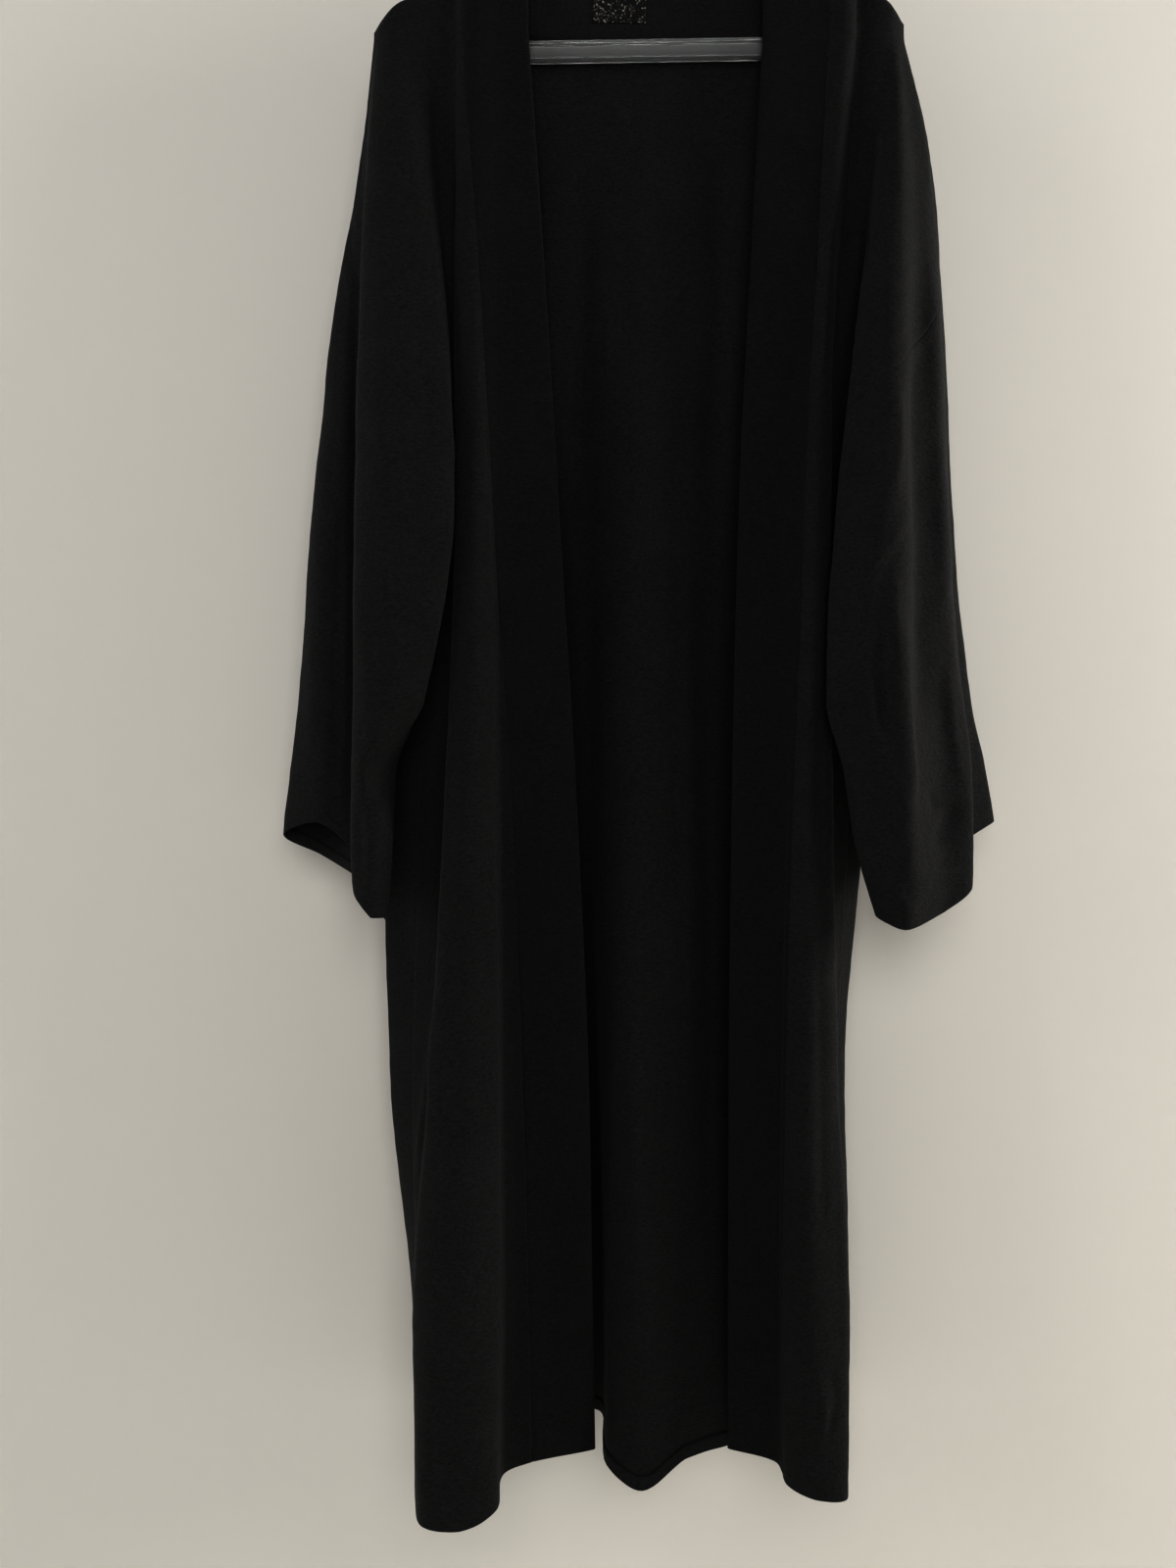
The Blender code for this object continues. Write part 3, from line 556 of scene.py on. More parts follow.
def crease_relief(grid, creases):
    """Height in mm of soft creases. Each is its (x, z) points, half width and height."""
    x, z = grid[:, :, 0], grid[:, :, 2]
    total = np.zeros_like(z)
    for points, width, height in creases:
        best = np.full_like(z, 1e9)
        where = np.zeros_like(z)
        count = len(points) - 1
        for k in range(count):
            (ax, az), (bx, bz) = points[k], points[k + 1]
            dx, dz = bx - ax, bz - az
            t = np.clip(((x - ax) * dx + (z - az) * dz) / (dx * dx + dz * dz), 0.0, 1.0)
            far = np.hypot(x - ax - t * dx, z - az - t * dz)
            closer = far < best
            best = np.where(closer, far, best)
            where = np.where(closer, (k + t) / count, where)
        fade = ease(where / CREASE_END) * ease((1.0 - where) / CREASE_END)
        total += height * fade * np.exp(-(best / width) ** 2)
    return total


def soft_unevenness(across, z, seed):
    """Slight unevenness of cloth that has been worn and folded, in mm."""
    return (0.35 * np.sin(across / 19.0 + z / 83.0 + seed)
            + 0.30 * np.sin(across / 31.0 - z / 57.0 + 2.1 * seed)
            + 0.16 * np.sin(across / 9.0 + z / 41.0 + 3.7 * seed)
            + 0.14 * np.sin(z / 17.0 + across / 23.0 + seed)
            + 0.10 * np.sin(z / 3.9 + 2.0 * np.sin(across / 11.0 + seed)) * np.sin(across / 6.1 + z / 29.0)
            + 0.09 * np.sin(z / 6.3 - across / 4.7 + 5.0 * seed))


def seam_groove(away, depth=0.35, width=1.6):
    """Cloth drawn in where it is sewn, at a distance from the seam."""
    return -depth * np.exp(-(away / width) ** 2)


def seams_both_sides(across):
    """Cloth drawn in along the seams at its first and last column."""
    return seam_groove(across) + seam_groove(across[:, -1:] - across)


def sheet_object(name, grid, material, facing):
    """Cloth on a grid of points in mm, a thin wall with the outside facing out."""
    rows, columns = grid.shape[:2]
    ids = np.arange(rows * columns).reshape(rows, columns)
    a, b, c, d = ids[:-1, :-1], ids[1:, :-1], ids[1:, 1:], ids[:-1, 1:]
    order = (a, b, c, d) if facing > 0 else (d, c, b, a)
    faces = np.stack([part.ravel() for part in order], axis=1)
    obj = finish_mesh(name, grid.reshape(-1, 3).tolist(), faces.tolist(), material)
    across = cloth_width(grid).ravel() * MM
    layer = obj.data.uv_layers.new(name="cloth")
    loops = np.array([loop.vertex_index for loop in obj.data.loops])
    uv = np.stack([across[loops], grid.reshape(-1, 3)[loops, 2] * MM], axis=1)
    layer.data.foreach_set("uv", uv.ravel())
    wall = obj.modifiers.new("wall", "SOLIDIFY")
    wall.thickness = CLOTH * MM
    wall.offset = 0.0
    apply_modifiers(obj)
    shade_smooth(obj)
    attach(obj, "root")
    return obj


def turn_up(grid, normals, gap=1.1):
    """Adds the turned-up hem inside the cloth: the last rows again, going back up."""
    count = len(HEM_ROWS) + 1
    fold = grid[-1:] - normals[-1:] * gap * 0.5 + np.array([0.0, 0.0, -0.45])
    inside = grid[-count:][::-1] - normals[-count:][::-1] * gap
    return np.concatenate([grid, fold, inside])


def crepe(name, color, light):
    """Black crepe: a pebbled, crinkled grain whose tone varies by a share of light, and a soft bloom."""
    material, shader = principled(name)
    place = object_place(material)
    pebble = noise(material, place, 430.0, 3.0, 0.75)
    cloudy = noise(material, place, 26.0, 3.0, 0.6)
    crinkle = noise(material, stretched(material, place, (260.0, 260.0, 560.0)), 1.0, 3.0, 0.65)
    mixed = node(material, "ShaderNodeMath", operation="MULTIPLY_ADD")
    mixed.inputs[1].default_value = 1.1
    link(material, crinkle, mixed.inputs[0])
    link(material, spread(material, cloudy, -0.68, -0.42), mixed.inputs[2])
    blend = node(material, "ShaderNodeMath", operation="ADD")
    link(material, pebble, blend.inputs[0])
    link(material, mixed.outputs[0], blend.inputs[1])
    tone = two_tones(material, blend.outputs[0], [c * (1.0 - light) for c in color],
                     [c * (1.0 + light) for c in color])
    link(material, tone, shader.inputs["Base Color"])
    link(material, spread(material, pebble, 0.62, 0.9), shader.inputs["Roughness"])
    shader.inputs["Sheen Weight"].default_value = 0.05
    shader.inputs["Sheen Roughness"].default_value = 0.5
    shader.inputs["Specular IOR Level"].default_value = 0.10
    grain = bump(material, pebble, 0.7, 0.0004)
    ribs = bump(material, crinkle, 0.8, 0.0012)
    link(material, grain.outputs["Normal"], ribs.inputs["Normal"])
    link(material, ribs.outputs["Normal"], shader.inputs["Normal"])
    return material


crepe_body = crepe("black_crepe", (0.0185, 0.0185, 0.0188), 0.7)
# The second crepe is the same cloth painted darker: painted shade, for the front bands and the strip behind
# the left fold
crepe_painted_shade = crepe("black_crepe_painted_shade", (0.0125, 0.0125, 0.0128), 0.7)

# Stitching: one row of black thread 9 mm above every hem and cuff, on the outside, and
# on the inside where the back's hem and the cuffs show it.
thread, shader = principled("black_thread")
shader.inputs["Roughness"].default_value = 0.5
shader.inputs["Specular IOR Level"].default_value = 0.3
fibre = noise(thread, object_place(thread), 1500.0)
tint = two_tones(thread, fibre, (0.004, 0.004, 0.004), (0.014, 0.014, 0.015))
link(thread, tint, shader.inputs["Base Color"])
PITCH = 3.0
STITCH = 2.3
OVER_CLOTH = 0.4
UNDER_HEM = 1.5


def stitch_row(name, path, out):
    """Row of stitches along a path of points in mm that lies on the cloth; out points away from it."""
    step = np.linalg.norm(np.diff(path, axis=0), axis=1)
    length = np.concatenate([[0.0], np.cumsum(step)])
    verts, faces = [], []
    for start in np.arange(2.0, length[-1] - 2.0, PITCH):
        ends = [np.array([np.interp(start + d, length, path[:, k]) for k in range(3)])
                for d in (0.0, STITCH)]
        normal = np.array([np.interp(start, length, out[:, k]) for k in range(3)])
        middle = 0.5 * (ends[0] + ends[1])
        aside = np.cross(ends[1] - ends[0], normal)
        aside /= np.linalg.norm(aside) + 1e-9
        base = len(verts)
        verts += [ends[0] - normal * 0.1, ends[1] - normal * 0.1, middle + normal * 0.24,
                  middle - normal * 0.2, middle + aside * 0.21, middle - aside * 0.21]
        for a, b in ((2, 4), (4, 3), (3, 5), (5, 2)):
            faces += [(base, base + a, base + b), (base + 1, base + b, base + a)]
    obj = finish_mesh(name, verts, faces, thread)
    face_outwards(obj)
    shade_smooth(obj)
    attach(obj, "root")
    return obj


def front_panel_grid(side):
    """Front panel from the band's seam across to the armhole and the side seam."""
    rows = list(FRONT[side].values())
    turn = len(rows) - 1
    outline = turn + outline_index(side)
    under = underarm_share(side)
    u, v = np.meshgrid(column_shares(), row_shares(under))
    shape = u.shape
    u, v = u.ravel(), v.ravel()
    full = np.full(len(u), TABLE_TOP)
    seam_top = band_index(side, full)
    seam_hem = band_index(side, np.full(len(u), float(rows[0][-1])))
    on_hanger = np.minimum(u / TIP_SHARE, 1.0)
    ridge_x = front_points(side, seam_top + (outline - seam_top) * on_hanger, full)[:, 0]
    top = np.where(u < TIP_SHARE, ridge(ridge_x), tip_top(side, (u - TIP_SHARE) / (1.0 - TIP_SHARE)))
    hem = hem_at(rows, seam_hem + (turn - seam_hem) * u)
    z = top + (hem - top) * v
    seam = band_index(side, z)
    upper = seam + (outline - seam) * on_hanger
    lower = seam + (turn - seam) * u
    xy = front_points(side, upper + (lower - upper) * np.clip(v / under, 0.0, 1.0), z)
    off_hanger = ease((u - TIP_SHARE) / FADE)
    y = turned(xy[:, 0], xy[:, 1], top - z) * (1.0 - off_hanger) + xy[:, 1] * off_hanger
    return np.stack([xy[:, 0], y, z], axis=1).reshape(*shape, 3)


# Creases of the front panels: (x, z) points, half width and height, all in mm
FRONT_CREASES = {
    "left": [
        ([(-174, -982), (-180, -1045), (-192, -1124), (-198, -1166)], 5, 2.4),
        ([(-203, -1069), (-205, -1103), (-206, -1136)], 4, 1.4),
        ([(-127, -861), (-122, -1019), (-117, -1229), (-117, -1380)], 9, 0.7),
        ([(-150, -1229), (-154, -1329), (-156, -1430)], 16, -2.4),
        ([(-171, -1145), (-175, -1296), (-179, -1422)], 11, 1.6),
        ([(-139, -339), (-135, -541), (-132, -725)], 9, 1.8),
        ([(-150, -389), (-147, -574), (-149, -775)], 7, -1.8),
        ([(-154, -851), (-157, -994), (-160, -1128)], 9, -1.8),
        ([(-209, -188), (-196, -264), (-185, -339)], 6, 1.6),
        ([(-180, -186), (-174, -232), (-168, -284), (-163, -350)], 10, -2.2),
    ],
    "right": [
        ([(159, -1291), (164, -1329), (155, -1363)], 4, -1.3),
        ([(148, -1306), (155, -1336), (150, -1371)], 4, 1.2),
        ([(138, -943), (137, -1145), (146, -1385)], 9, 1.6),
        ([(151, -893), (154, -1061), (155, -1229)], 6, -1.6),
        ([(172, -1061), (174, -1195), (174, -1338)], 5, 1.4),
        ([(179, -306), (172, -423), (165, -524)], 6, -1.6),
        ([(148, -608), (143, -775), (142, -918)], 8, 1.6),
        ([(155, -675), (154, -809), (155, -943)], 5, -1.4),
        ([(212, -215), (208, -270), (203, -335), (196, -395)], 5, 3.4),
        ([(203, -205), (198, -270), (192, -335), (184, -400), (176, -470)], 6, -5.0),
    ],
}
# Creases that run on over the armhole seam into the sleeve
SHOULDER_CREASES = {
    "left": [
        ([(-221, -247), (-216, -389), (-219, -490), (-217, -608)], 12, 2.0),
        ([(-188, -348), (-182, -485), (-197, -635)], 10, -2.3),
        ([(-246, -300), (-249, -480), (-251, -675), (-253, -800), (-254, -890)], 5, -4.5),
        ([(-262, -360), (-272, -500), (-284, -700), (-288, -830)], 9, 2.0),
    ],
    "right": [
        ([(212, -250), (208, -339), (206, -471), (203, -566), (205, -640)], 10, 4.4),
        ([(233, -280), (236, -440), (234, -509), (237, -584), (238, -660), (237, -735),
          (238, -800)], 9, -6.0),
        ([(247, -280), (252, -400), (256, -509), (260, -600), (262, -700)], 8, 4.2),
        ([(192, -400), (186, -500), (180, -580)], 10, -2.4),
    ],
}
FRONT_SEED = {"left": 1.0, "right": 4.0}
for side in FACING:
    grid = front_panel_grid(side)
    normals = grid_normals(grid, FACING[side])
    across = cloth_width(grid)
    ahead = faces_viewer(normals)
    relief = crease_relief(grid, FRONT_CREASES[side]) * ahead
    relief += soft_unevenness(across, grid[:, :, 2], FRONT_SEED[side])
    relief *= ease((across[:, -1:] - across) / SEAM_FADE)
    relief += crease_relief(grid, SHOULDER_CREASES[side]) * ahead
    relief *= ease((ridge(grid[:, :, 0]) - grid[:, :, 2]) / SHOULDER_FADE) * ease(across / BAND_FADE)
    relief += seams_both_sides(across)
    grid = grid + normals * relief[:, :, None]
    panel = sheet_object("front_cloth_" + side, turn_up(grid, normals), crepe_body, FACING[side])
    # The left panel's strip beside the band lies behind its fold, in its shade, which is painted: it gets
    # the band's darker crepe
    panel.data.materials.append(crepe_painted_shade)
    centres = np.array([polygon.center for polygon in panel.data.polygons]) / MM
    fold_x = lines_at(BODY_HEIGHTS, [FRONT[side]["step_in"]], centres[:, 2])[0][:, 0]
    # Faces of the strip that get the painted shade
    beside = (centres[:, 0] > fold_x) & (side == "left")
    panel.data.polygons.foreach_set("material_index", beside.astype(int))
    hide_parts("front_panel_" + side)
    sewn, out = grid[STITCHED], normals[STITCHED]
    hem_row = stitch_row("front_hem_stitches_" + side, sewn + out * OVER_CLOTH, out)

# Front bands: a straight double strip of the same crepe, 56 mm wide, sewn down each
# front edge. Its edge is a fold, and its inner half lies flat behind it.
BAND_COLUMNS = [0.0, 0.012, 0.04, 0.1, *np.linspace(0.18, 0.9, 11), 0.96, 0.985, 1.0]
BAND_SEED = {"left": 7.0, "right": 9.0}
LAYER_GAP = 1.3
INNER_EDGE = 0.9
for side in FACING:
    rows = list(FRONT[side].values())
    u, v = np.meshgrid(BAND_COLUMNS, row_shares(underarm_share(side)))
    shape = u.shape
    u, v = u.ravel(), v.ravel()
    full = np.full(len(u), TABLE_TOP)
    top = ridge(front_points(side, u * band_index(side, full), full)[:, 0])
    hem = hem_at(rows, u * band_index(side, np.full(len(u), float(rows[0][-1]))))
    z = top + (hem - top) * v
    xy = front_points(side, u * band_index(side, z), z)
    grid = np.stack([xy[:, 0], turned(xy[:, 0], xy[:, 1], top - z), z], axis=1).reshape(*shape, 3)
    normals = grid_normals(grid, FACING[side])
    across = cloth_width(grid)
    relief = 0.6 * soft_unevenness(across * 0.5, grid[:, :, 2], BAND_SEED[side])
    relief *= ease((ridge(grid[:, :, 0]) - grid[:, :, 2]) / SHOULDER_FADE)
    relief += seam_groove(across[:, -1:] - across) - 0.5 * np.exp(-(across / 0.9) ** 2)
    grid = grid + normals * relief[:, :, None]
    inner = (grid - normals * LAYER_GAP)[:, ::-1][:, ::2][:, :-1] + np.array([0.0, 0.0, 0.4])
    inner[:, 0] += normals[:, -1] * INNER_EDGE
    edge = grid[:, :1] - normals[:, :1] * 0.5 * LAYER_GAP + (grid[:, :1] - grid[:, 3:4]) * 0.08
    whole = np.concatenate([inner, edge, grid], axis=1)
    # The band's darker crepe is painted shade; its cloth is the same as the body's
    band = sheet_object("front_band_cloth_" + side, whole, crepe_painted_shade, FACING[side])
    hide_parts("front_band_" + side)

# Back panel: one wide cut of the same crepe, hung from the shoulders by the neck band's
# seam, in deep folds that stand in front of the wall.
NECK_SEAM_Z = -155.0
NECK_CURVE = 6.0
NECK_SHARE = 0.40               # share of the back's half width under the neck band
BACK_TIP = 0.62                 # share of it out to the hanger's tip
BACK_SEED = 12.0
BACK_FADE = 50.0
TOUCH = 0.01


def back_points(index, z):
    """Points of the back layer: 0 is the left side; beyond its ends come the sleeves' back lines."""
    lines = lines_at(BODY_HEIGHTS, list(BACK.values()), z)
    lines = np.concatenate([side_line("left", "under_back", z)[None], lines,
                            side_line("right", "under_back", z)[None]])
    last = len(lines) - 1
    found = smooth(lines, np.clip(index, 0.0, last))
    for side, beyond in (("left", -index), ("right", index - last)):
        names = list(SLEEVE[side])[outline_index(side):]
        outer = lines_at(SLEEVE_HEIGHTS, [SLEEVE[side][name] for name in names][::-1], z)
        further = smooth(outer, np.clip(beyond, 0.0, len(names) - 1))
        found = np.where((beyond > 0.0)[:, None], further, found)
    return found


at_top = np.array([TABLE_TOP])
seam_ends = [front_points(side, band_index(side, at_top), at_top)[0, 0] for side in FACING]


def neck_seam(x):
    """Height of the seam between the neck band and the back, at x between its two ends."""
    middle = 0.5 * (seam_ends[0] + seam_ends[1])
    reach = 0.5 * (seam_ends[1] - seam_ends[0])
    rise = ridge(np.where(x < middle, seam_ends[0], seam_ends[1])) - NECK_SEAM_Z
    return NECK_SEAM_Z + rise * np.minimum(np.abs((x - middle) / reach), 1.0) ** NECK_CURVE


back_last = len(BACK) + 1
middle_index = 0.5 * back_last
back_reach = {side: middle_index + len(SLEEVE[side]) - 1 - outline_index(side) for side in FACING}
tips = [SLEEVE["left"]["outline"][0][0], SLEEVE["right"]["outline"][0][0]]
spot = np.arange(middle_index - back_reach["left"], middle_index + back_reach["right"] + 1e-6, 0.01)
spot_x = back_points(spot, np.full(len(spot), TABLE_TOP))[:, 0]
shares, top_xs = [], []
for t in np.linspace(0.0, 1.0, 60):
    s = 0.5 - 0.5 * math.cos(math.pi * t)
    shares.append(NECK_SHARE * (2.0 * s - 1.0))
    top_xs.append(seam_ends[0] + (seam_ends[1] - seam_ends[0]) * s)
for k, sign in enumerate((-1.0, 1.0)):
    out_share, out_x = [], []
    for t in np.linspace(0.0, 1.0, 19)[1:]:
        out_share.append(sign * (NECK_SHARE + (BACK_TIP - NECK_SHARE) * t))
        out_x.append(np.nan if t == 1.0 else seam_ends[k] + (tips[k] - seam_ends[k]) * t)
    for t in list(np.linspace(0.0, 1.0, 27)[1:-1]) + [0.985, 0.994, 1.0]:
        out_share.append(sign * (BACK_TIP + (1.0 - BACK_TIP) * t))
        out_x.append(np.nan)
    if sign < 0.0:
        shares, top_xs = out_share[::-1] + shares, out_x[::-1] + top_xs
    else:
        shares, top_xs = shares + out_share, top_xs + out_x
shares, top_xs = np.array(shares), np.array(top_xs)
v_left = row_shares(underarm_share("left"), 1.15)
v_right = row_shares(underarm_share("right"), 1.15)
count = min(len(v_left), len(v_right))
v_left, v_right = v_left[-count:], v_right[-count:]
v_left[0] = v_right[0] = 0.0
share = np.tile(shares, (count, 1))
top_x = np.tile(top_xs, (count, 1))
v = v_left[:, None] + (v_right - v_left)[:, None] * (0.5 + 0.5 * share)
shape = share.shape
share, top_x, v = share.ravel(), top_x.ravel(), v.ravel()
hems = [(FRONT["left"]["side"][-1], 0.0)] + [(row[-1], 0.0) for row in BACK.values()]
hems = np.array(hems + [(FRONT["right"]["side"][-1], 0.0)])[:, None, :]
lower = middle_index + middle_index * share
hem = smooth(np.repeat(hems, len(share), axis=1), lower)[:, 0]
left = share < 0.0
sign = np.where(left, -1.0, 1.0)
under = np.where(left, underarm_share("left"), underarm_share("right"))
dropped = np.isnan(top_x)
known_x = np.where(dropped, 0.0, top_x)
off = np.clip((np.abs(share) - BACK_TIP) / (1.0 - BACK_TIP), 0.0, 1.0)
edge_top = np.where(left, tip_top("left", off), tip_top("right", off))
on_neck = (known_x > seam_ends[0] - TOUCH) & (known_x < seam_ends[1] + TOUCH)
top = np.where(dropped, edge_top, np.where(on_neck, neck_seam(known_x), ridge(known_x)))
over = np.where(dropped, edge_top, ridge(known_x))
reach = np.where(left, back_reach["left"], back_reach["right"])
upper = np.where(dropped, middle_index + sign * reach, np.interp(known_x, spot_x, spot))
z = top + (hem - top) * v
xy = back_points(upper + (lower - upper) * np.clip(v / under, 0.0, 1.0), z)
off_hanger = ease((np.abs(share) - BACK_TIP) / FADE)
y = turned(xy[:, 0], xy[:, 1], over - z) * (1.0 - off_hanger) + xy[:, 1] * off_hanger
grid = np.stack([xy[:, 0], y, z], axis=1).reshape(*shape, 3)
normals = grid_normals(grid, 1.0)
# Creases of the back, seen inside between the fronts and behind: (x, z) points, half
# width and height away from the viewer in front
BACK_CREASES = [
    ([(-47, -215), (-50, -399), (-53, -652)], 13, 3.0),
    ([(4, -206), (8, -425), (10, -669)], 15, -2.6),
    ([(72, -215), (73, -399), (67, -599)], 12, 3.0),
    ([(-10, -896), (-5, -1088), (-3, -1316)], 11, -2.2),
    ([(15, -826), (18, -1036), (22, -1263)], 10, 1.8),
    ([(43, -599), (48, -861), (46, -1141)], 8, -1.8),
    ([(62, -774), (66, -1027), (60, -1272)], 8, 1.8),
    ([(-176, -330), (-170, -500), (-174, -740)], 10, 2.6),
    ([(-148, -240), (-140, -470), (-146, -760)], 13, -2.6),
    ([(-112, -260), (-106, -450), (-110, -720)], 10, 2.2),
    ([(-84, -300), (-80, -480), (-86, -640)], 8, -2.0),
    ([(108, -240), (102, -460), (106, -760)], 12, 2.6),
    ([(138, -280), (146, -520), (140, -800)], 12, -3.0),
    ([(172, -320), (168, -480), (174, -700)], 9, 2.2),
    ([(-150, -800), (-142, -1010), (-148, -1260)], 9, -3.2),
    ([(-110, -860), (-116, -1060), (-108, -1290)], 10, 2.6),
    ([(-182, -900), (-190, -1090), (-180, -1320)], 9, 2.4),
    ([(112, -820), (118, -1050), (110, -1300)], 9, -2.6),
    ([(146, -780), (140, -1000), (148, -1250)], 10, 3.0),
]
across = cloth_width(grid)
relief = crease_relief(grid, BACK_CREASES)
relief += soft_unevenness(grid[:, :, 0], grid[:, :, 2], BACK_SEED)
relief *= ease((grid[:1, :, 2] - grid[:, :, 2]) / BACK_FADE)
relief *= ease(across / SEAM_FADE) * ease((across[:, -1:] - across) / SEAM_FADE)
relief += seams_both_sides(across)
grid = grid + normals * relief[:, :, None]
back = sheet_object("back_cloth", turn_up(grid, normals), crepe_body, 1.0)
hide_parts("back_panel")
sewn, out = grid[STITCHED], normals[STITCHED]
outer_row = stitch_row("back_hem_stitches", sewn + out * OVER_CLOTH, out)
inner_row = stitch_row("back_hem_stitches_inside", sewn - out * UNDER_HEM, -out)

# Neck band: the front band carried on round the back of the neck, standing against the
# back panel, with its top edge a fold.
NECK_Z = -99.0
NECK_ROWS = [0.0, 0.015, 0.05, *np.linspace(0.12, 0.93, 12), 0.97, 1.0]


def neck_waves(x, z):
    """Slight waves of the cloth round the neck, in mm."""
    return 0.5 * np.sin(x / 17.0 + 1.0) * ease((ridge(x) - z) / 30.0)


edges = [front_points(side, np.zeros(1), at_top)[0, 0] for side in FACING]
u, s = np.meshgrid(0.5 - 0.5 * np.cos(np.pi * np.linspace(0.0, 1.0, 56)), NECK_ROWS)
x_edge = edges[0] + (edges[1] - edges[0]) * u
z_edge = ridge(edges[0]) + (ridge(edges[1]) - ridge(edges[0])) * u
z_edge = z_edge + (NECK_Z - 0.5 * (ridge(edges[0]) + ridge(edges[1]))) * np.sin(np.pi * u)
x_seam = seam_ends[0] + (seam_ends[1] - seam_ends[0]) * u
x = x_edge + (x_seam - x_edge) * s
z = z_edge + (neck_seam(x_seam) - z_edge) * s
grid = np.stack([x, turned(x, np.full_like(x, CROWN), ridge(x) - z), z], axis=2)
normals = grid_normals(grid, 1.0)
relief = neck_waves(x, z) + seam_groove((1.0 - s) * BAND_WIDTH, 0.3)
grid = grid + normals * relief[:, :, None]
inner = (grid - normals * LAYER_GAP)[::-1][::2][:-1] + np.array([0.0, 0.0, 0.3])
inner[0] += normals[-1] * INNER_EDGE - np.array([0.0, 0.0, 1.4])
edge = grid[:1] - normals[:1] * 0.5 * LAYER_GAP + np.array([0.0, 0.0, 0.4])
whole = np.concatenate([inner, edge, grid])
neck = sheet_object("neck_band_cloth", whole, crepe_body, 1.0)
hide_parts("neck_band")

# Neck patch: a small plain rectangle of glittering woven cloth, sewn flat to the inside
# of the neck band a little left of its middle. It is bare.
PATCH = (-41.0, 6.5, -139.5, -112.0)
PATCH_WIDE = PATCH[1] - PATCH[0]
PATCH_HIGH = 31.0
PATCH_LIFT = 2.1
glitter, shader = principled("glitter_cloth")
shader.inputs["Roughness"].default_value = 0.6
shader.inputs["Specular IOR Level"].default_value = 0.08
flakes = node(glitter, "ShaderNodeTexVoronoi")
flakes.inputs["Scale"].default_value = 900.0
link(glitter, object_place(glitter), flakes.inputs["Vector"])
shine = node(glitter, "ShaderNodeSeparateColor")
link(glitter, flakes.outputs["Color"], shine.inputs["Color"])
power = node(glitter, "ShaderNodeMath", operation="POWER")
power.inputs[1].default_value = 15.0
link(glitter, shine.outputs["Red"], power.inputs[0])
tone = two_tones(glitter, power.outputs[0], (0.016, 0.016, 0.016), (0.42, 0.41, 0.37))
link(glitter, tone, shader.inputs["Base Color"])
link(glitter, bump(glitter, shine.outputs["Green"], 0.8, 0.0006).outputs["Normal"], shader.inputs["Normal"])
u, s = np.meshgrid(np.linspace(0.0, 1.0, 25), np.linspace(0.0, 1.0, 17))
x = PATCH[0] + (PATCH[1] - PATCH[0]) * u
z = PATCH[3] + (PATCH[2] - PATCH[3]) * s + TILT * x
y = turned(x, np.full_like(x, CROWN), ridge(x) - z) + neck_waves(x, z)
rim = np.minimum(np.minimum(u, 1.0 - u) * PATCH_WIDE, np.minimum(s, 1.0 - s) * PATCH_HIGH)
cloth = np.stack([x, y - PATCH_LIFT - 0.35 * ease(rim / 2.5), z], axis=2)
patch = sheet_object("neck_patch_bare", cloth, glitter, 1.0)

# Sleeves: one wide straight cut each, sewn to the dropped armhole and closed under the
# arm. Each hangs from the shoulder in long folds and ends in an open, turned cuff.
SLEEVE_SEED = {"left": 15.0, "right": 19.0}
SLEEVE_FALL = 560.0
SLEEVE_COLUMNS = 118
ARMHOLE_FADE = 25.0
SIDE_FADE = 8.0
# Creases on the front of the sleeves: (x, z) points, half width and height
SLEEVE_CREASES = {
    "left": [
        ([(-236, -650), (-227, -738), (-217, -801)], 9, 2.3),
        ([(-209, -675), (-219, -725), (-229, -775)], 7, -2.3),
        ([(-279, -485), (-287, -659), (-290, -813)], 9, 2.1),
        ([(-259, -524), (-265, -687), (-263, -834)], 8, -2.3),
        ([(-216, -809), (-224, -851), (-226, -910)], 6, 1.6),
        ([(-236, -809), (-237, -859), (-234, -905)], 5, -1.6),
    ],
    "right": [
        ([(214, -470), (216, -520), (211, -580)], 3, 2.2),
        ([(208, -600), (209, -660), (213, -716), (218, -784), (221, -829), (226, -915)], 8, 4.6),
        ([(219, -640), (220, -716), (224, -790), (227, -840)], 3, 2.4),
        ([(203, -560), (194, -622), (186, -678), (181, -716)], 7, 3.6),
        ([(183, -700), (191, -761), (202, -792), (216, -833)], 6, 4.4),
        ([(203, -672), (202, -700), (200, -735), (200, -772)], 4, -5.0),
        ([(270, -600), (276, -680), (282, -760)], 6, -2.2),
        ([(262, -700), (268, -760), (276, -815)], 6, 2.2),
        ([(184, -645), (204, -614), (221, -587)], 5, 1.6),
        ([(190, -790), (196, -840), (206, -900)], 7, -2.6),
        ([(240, -812), (246, -822), (250, -836)], 3, -1.8),
        ([(247, -866), (259, -846), (273, -822)], 8, -2.4),
        ([(211, -856), (217, -885), (226, -914)], 6, -2.2),
    ],
}
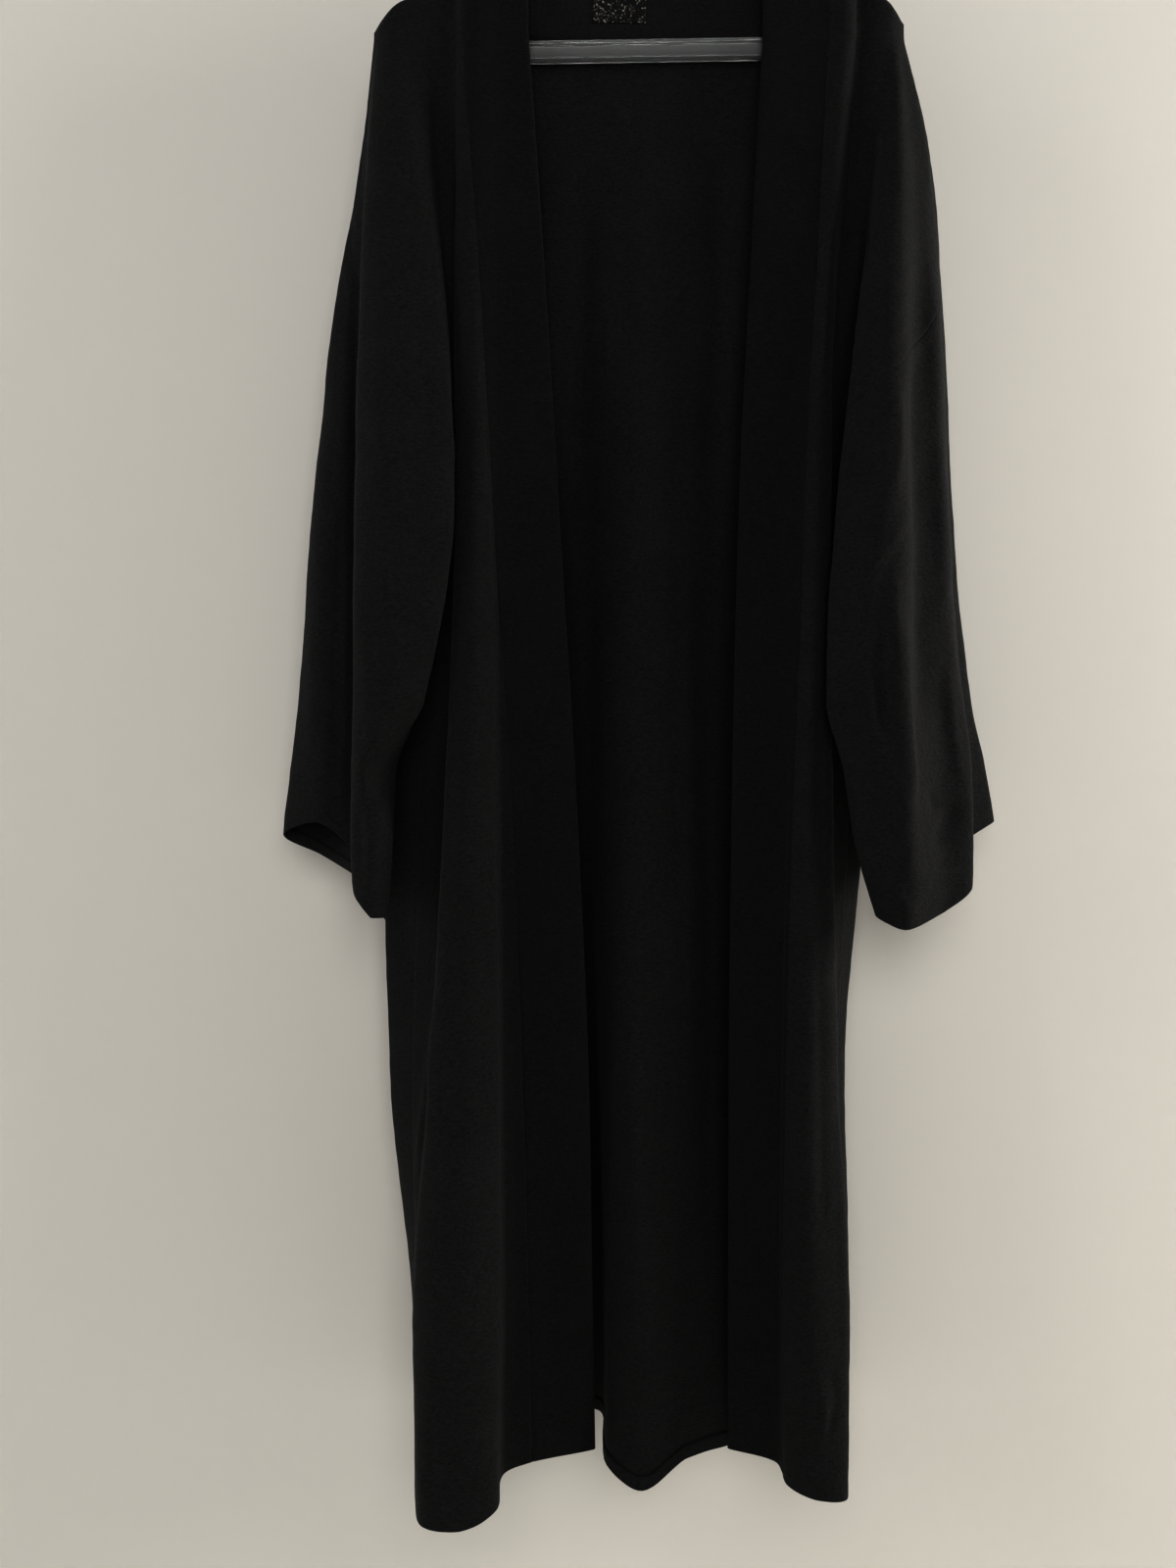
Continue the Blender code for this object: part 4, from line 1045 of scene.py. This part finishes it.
# Creases on their backs, where x and z are as above
SLEEVE_BACK_CREASES = {
    "left": [
        ([(-262, -420), (-268, -560), (-262, -740)], 9, 2.2),
        ([(-240, -400), (-246, -600), (-250, -800)], 8, -2.0),
        ([(-226, -480), (-232, -640), (-240, -820)], 7, 1.6),
    ],
    "right": [
        ([(258, -420), (266, -580), (262, -760)], 9, 2.2),
        ([(236, -400), (240, -600), (246, -790)], 8, -2.0),
        ([(222, -520), (226, -660), (232, -830)], 7, 1.6),
    ],
}
down = np.array([0.0, 1.0, 2.2, 4.0, 7.0, *np.arange(10.0, 545.0, 3.4)])
share = np.concatenate([down / SLEEVE_FALL, 1.0 - np.array(HEM_ROWS) / SLEEVE_FALL, [1.0]])
for side in FACING:
    rows = list(SLEEVE[side].values())
    outline, last = outline_index(side), len(rows) - 1
    under = underarm_share(side)
    index = np.array([0.0, 0.02, 0.05, *np.linspace(0.1, last - 0.1, SLEEVE_COLUMNS),
                      last - 0.05, last - 0.02, last])
    v = np.where(index <= outline, under * (1.0 - index / outline),
                 under * (index - outline) / (last - outline))
    top = arm_top(side, v)
    hem = hem_at(rows, index)
    fall = hem - top
    z = (top[None, :] + fall[None, :] * share[:, None]).ravel()
    xy = sleeve_points(side, np.tile(index, len(share)), z)
    grid = np.stack([xy[:, 0], xy[:, 1], z], axis=1).reshape(len(share), len(index), 3)
    normals = grid_normals(grid, FACING[side])
    across = cloth_width(grid)
    below = np.repeat(share[:, None] * SLEEVE_FALL, len(index), axis=1)
    ahead, behind = faces_viewer(normals), faces_viewer(-normals)
    relief = crease_relief(grid, SLEEVE_CREASES[side]) * ahead
    relief += crease_relief(grid, SLEEVE_BACK_CREASES[side]) * behind
    relief += soft_unevenness(across, grid[:, :, 2], SLEEVE_SEED[side])
    relief *= ease(below / ARMHOLE_FADE)
    relief += crease_relief(grid, SHOULDER_CREASES[side]) * ahead
    relief *= ease(across / SIDE_FADE) * ease((across[:, -1:] - across) / SIDE_FADE)
    relief += seam_groove(below)
    grid = grid + normals * relief[:, :, None]
    arm = sheet_object("sleeve_cloth_" + side, turn_up(grid, normals), crepe_body, FACING[side])
    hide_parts("sleeve_" + side)
    sewn, out = grid[STITCHED], normals[STITCHED]
    outer_row = stitch_row("cuff_stitches_" + side, sewn + out * OVER_CLOTH, out)
    inner_row = stitch_row("cuff_stitches_inside_" + side, sewn - out * UNDER_HEM, -out)

# Room: a plain pale wall close behind the cloak and a plain pale floor under it
WALL_Y = 98.0
WALL_TOP = 2500.0
FLOOR_Z = -1620.0
ROOM = 3000.0
PAINT = (0.560, 0.547, 0.519, 1.0)
# The wall is seen from the cloak's side only, so that the cloak can be looked at from behind
wall_paint, shader = principled("wall_paint")
shader.inputs["Base Color"].default_value = PAINT
shader.inputs["Roughness"].default_value = 0.95
behind_it = node(wall_paint, "ShaderNodeNewGeometry").outputs["Backfacing"]
through = node(wall_paint, "ShaderNodeBsdfTransparent")
either = node(wall_paint, "ShaderNodeMixShader")
link(wall_paint, behind_it, either.inputs["Fac"])
link(wall_paint, shader.outputs["BSDF"], either.inputs[1])
link(wall_paint, through.outputs["BSDF"], either.inputs[2])
surface = wall_paint.node_tree.nodes["Material Output"].inputs["Surface"]
link(wall_paint, either.outputs["Shader"], surface)
floor_paint, shader = principled("floor_paint")
shader.inputs["Base Color"].default_value = PAINT
shader.inputs["Roughness"].default_value = 0.9
wall = finish_mesh("wall", [(-ROOM, WALL_Y, FLOOR_Z), (ROOM, WALL_Y, FLOOR_Z), (ROOM, WALL_Y, WALL_TOP),
                            (-ROOM, WALL_Y, WALL_TOP)], [(0, 1, 2, 3)], wall_paint)
floor = finish_mesh("floor", [(-ROOM, -ROOM, FLOOR_Z), (ROOM, -ROOM, FLOOR_Z), (ROOM, ROOM, FLOOR_Z),
                              (-ROOM, ROOM, FLOOR_Z)], [(0, 1, 2, 3)], floor_paint)
wall.visible_shadow = False


def soft_light(name, place, target, size, power, color=(1.0, 1.0, 1.0)):
    """Large square studio light that faces a point."""
    lamp = bpy.data.lights.new(name, "AREA")
    lamp.shape = "SQUARE"
    lamp.size = size
    lamp.energy = power
    lamp.color = color
    obj = bpy.data.objects.new(name, lamp)
    obj.location = place
    obj.rotation_euler = (Vector(target) - Vector(place)).to_track_quat("-Z", "Y").to_euler()
    bpy.context.scene.collection.objects.link(obj)


soft_light("front_light", (0.05, -2.7, 0.0), (0.0, 0.0, -0.7), 1.7, 48.0, (1.0, 0.99, 0.97))
soft_light("right_light", (2.3, -0.36, -0.2), (0.2, 0.0, -0.6), 1.0, 76.0, (1.0, 0.975, 0.95))
soft_light("left_light", (-2.3, -0.55, 0.1), (-0.15, 0.0, -0.6), 1.6, 40.0)
soft_light("back_light", (-0.7, 2.3, 0.5), (0.0, 0.0, -0.8), 1.0, 160.0)
world = bpy.data.worlds.new("soft_room")
bpy.context.scene.world = world
world.use_nodes = True
world.node_tree.nodes["Background"].inputs["Color"].default_value = (0.95, 0.97, 1.0, 1.0)
world.node_tree.nodes["Background"].inputs["Strength"].default_value = 0.20

# Camera: level, in front of the cloak, at the photograph's distance and angle
SENSOR = 36.0
FOCAL_PIXELS = 1168.0
PHOTO_HEIGHT = 1600.0
camera_data = bpy.data.cameras.new("camera")
camera_data.sensor_width = SENSOR
camera_data.lens = SENSOR * FOCAL_PIXELS / PHOTO_HEIGHT
camera = bpy.data.objects.new("camera", camera_data)
camera.location = (-0.0445, -1.0, -0.809)
camera.rotation_euler = (math.radians(90.0), 0.0, 0.0)
bpy.context.scene.collection.objects.link(camera)
bpy.context.scene.camera = camera

bpy.context.scene.view_settings.view_transform = "Standard"
bpy.context.scene.view_settings.look = "None"
bpy.context.scene.view_settings.gamma = 0.6
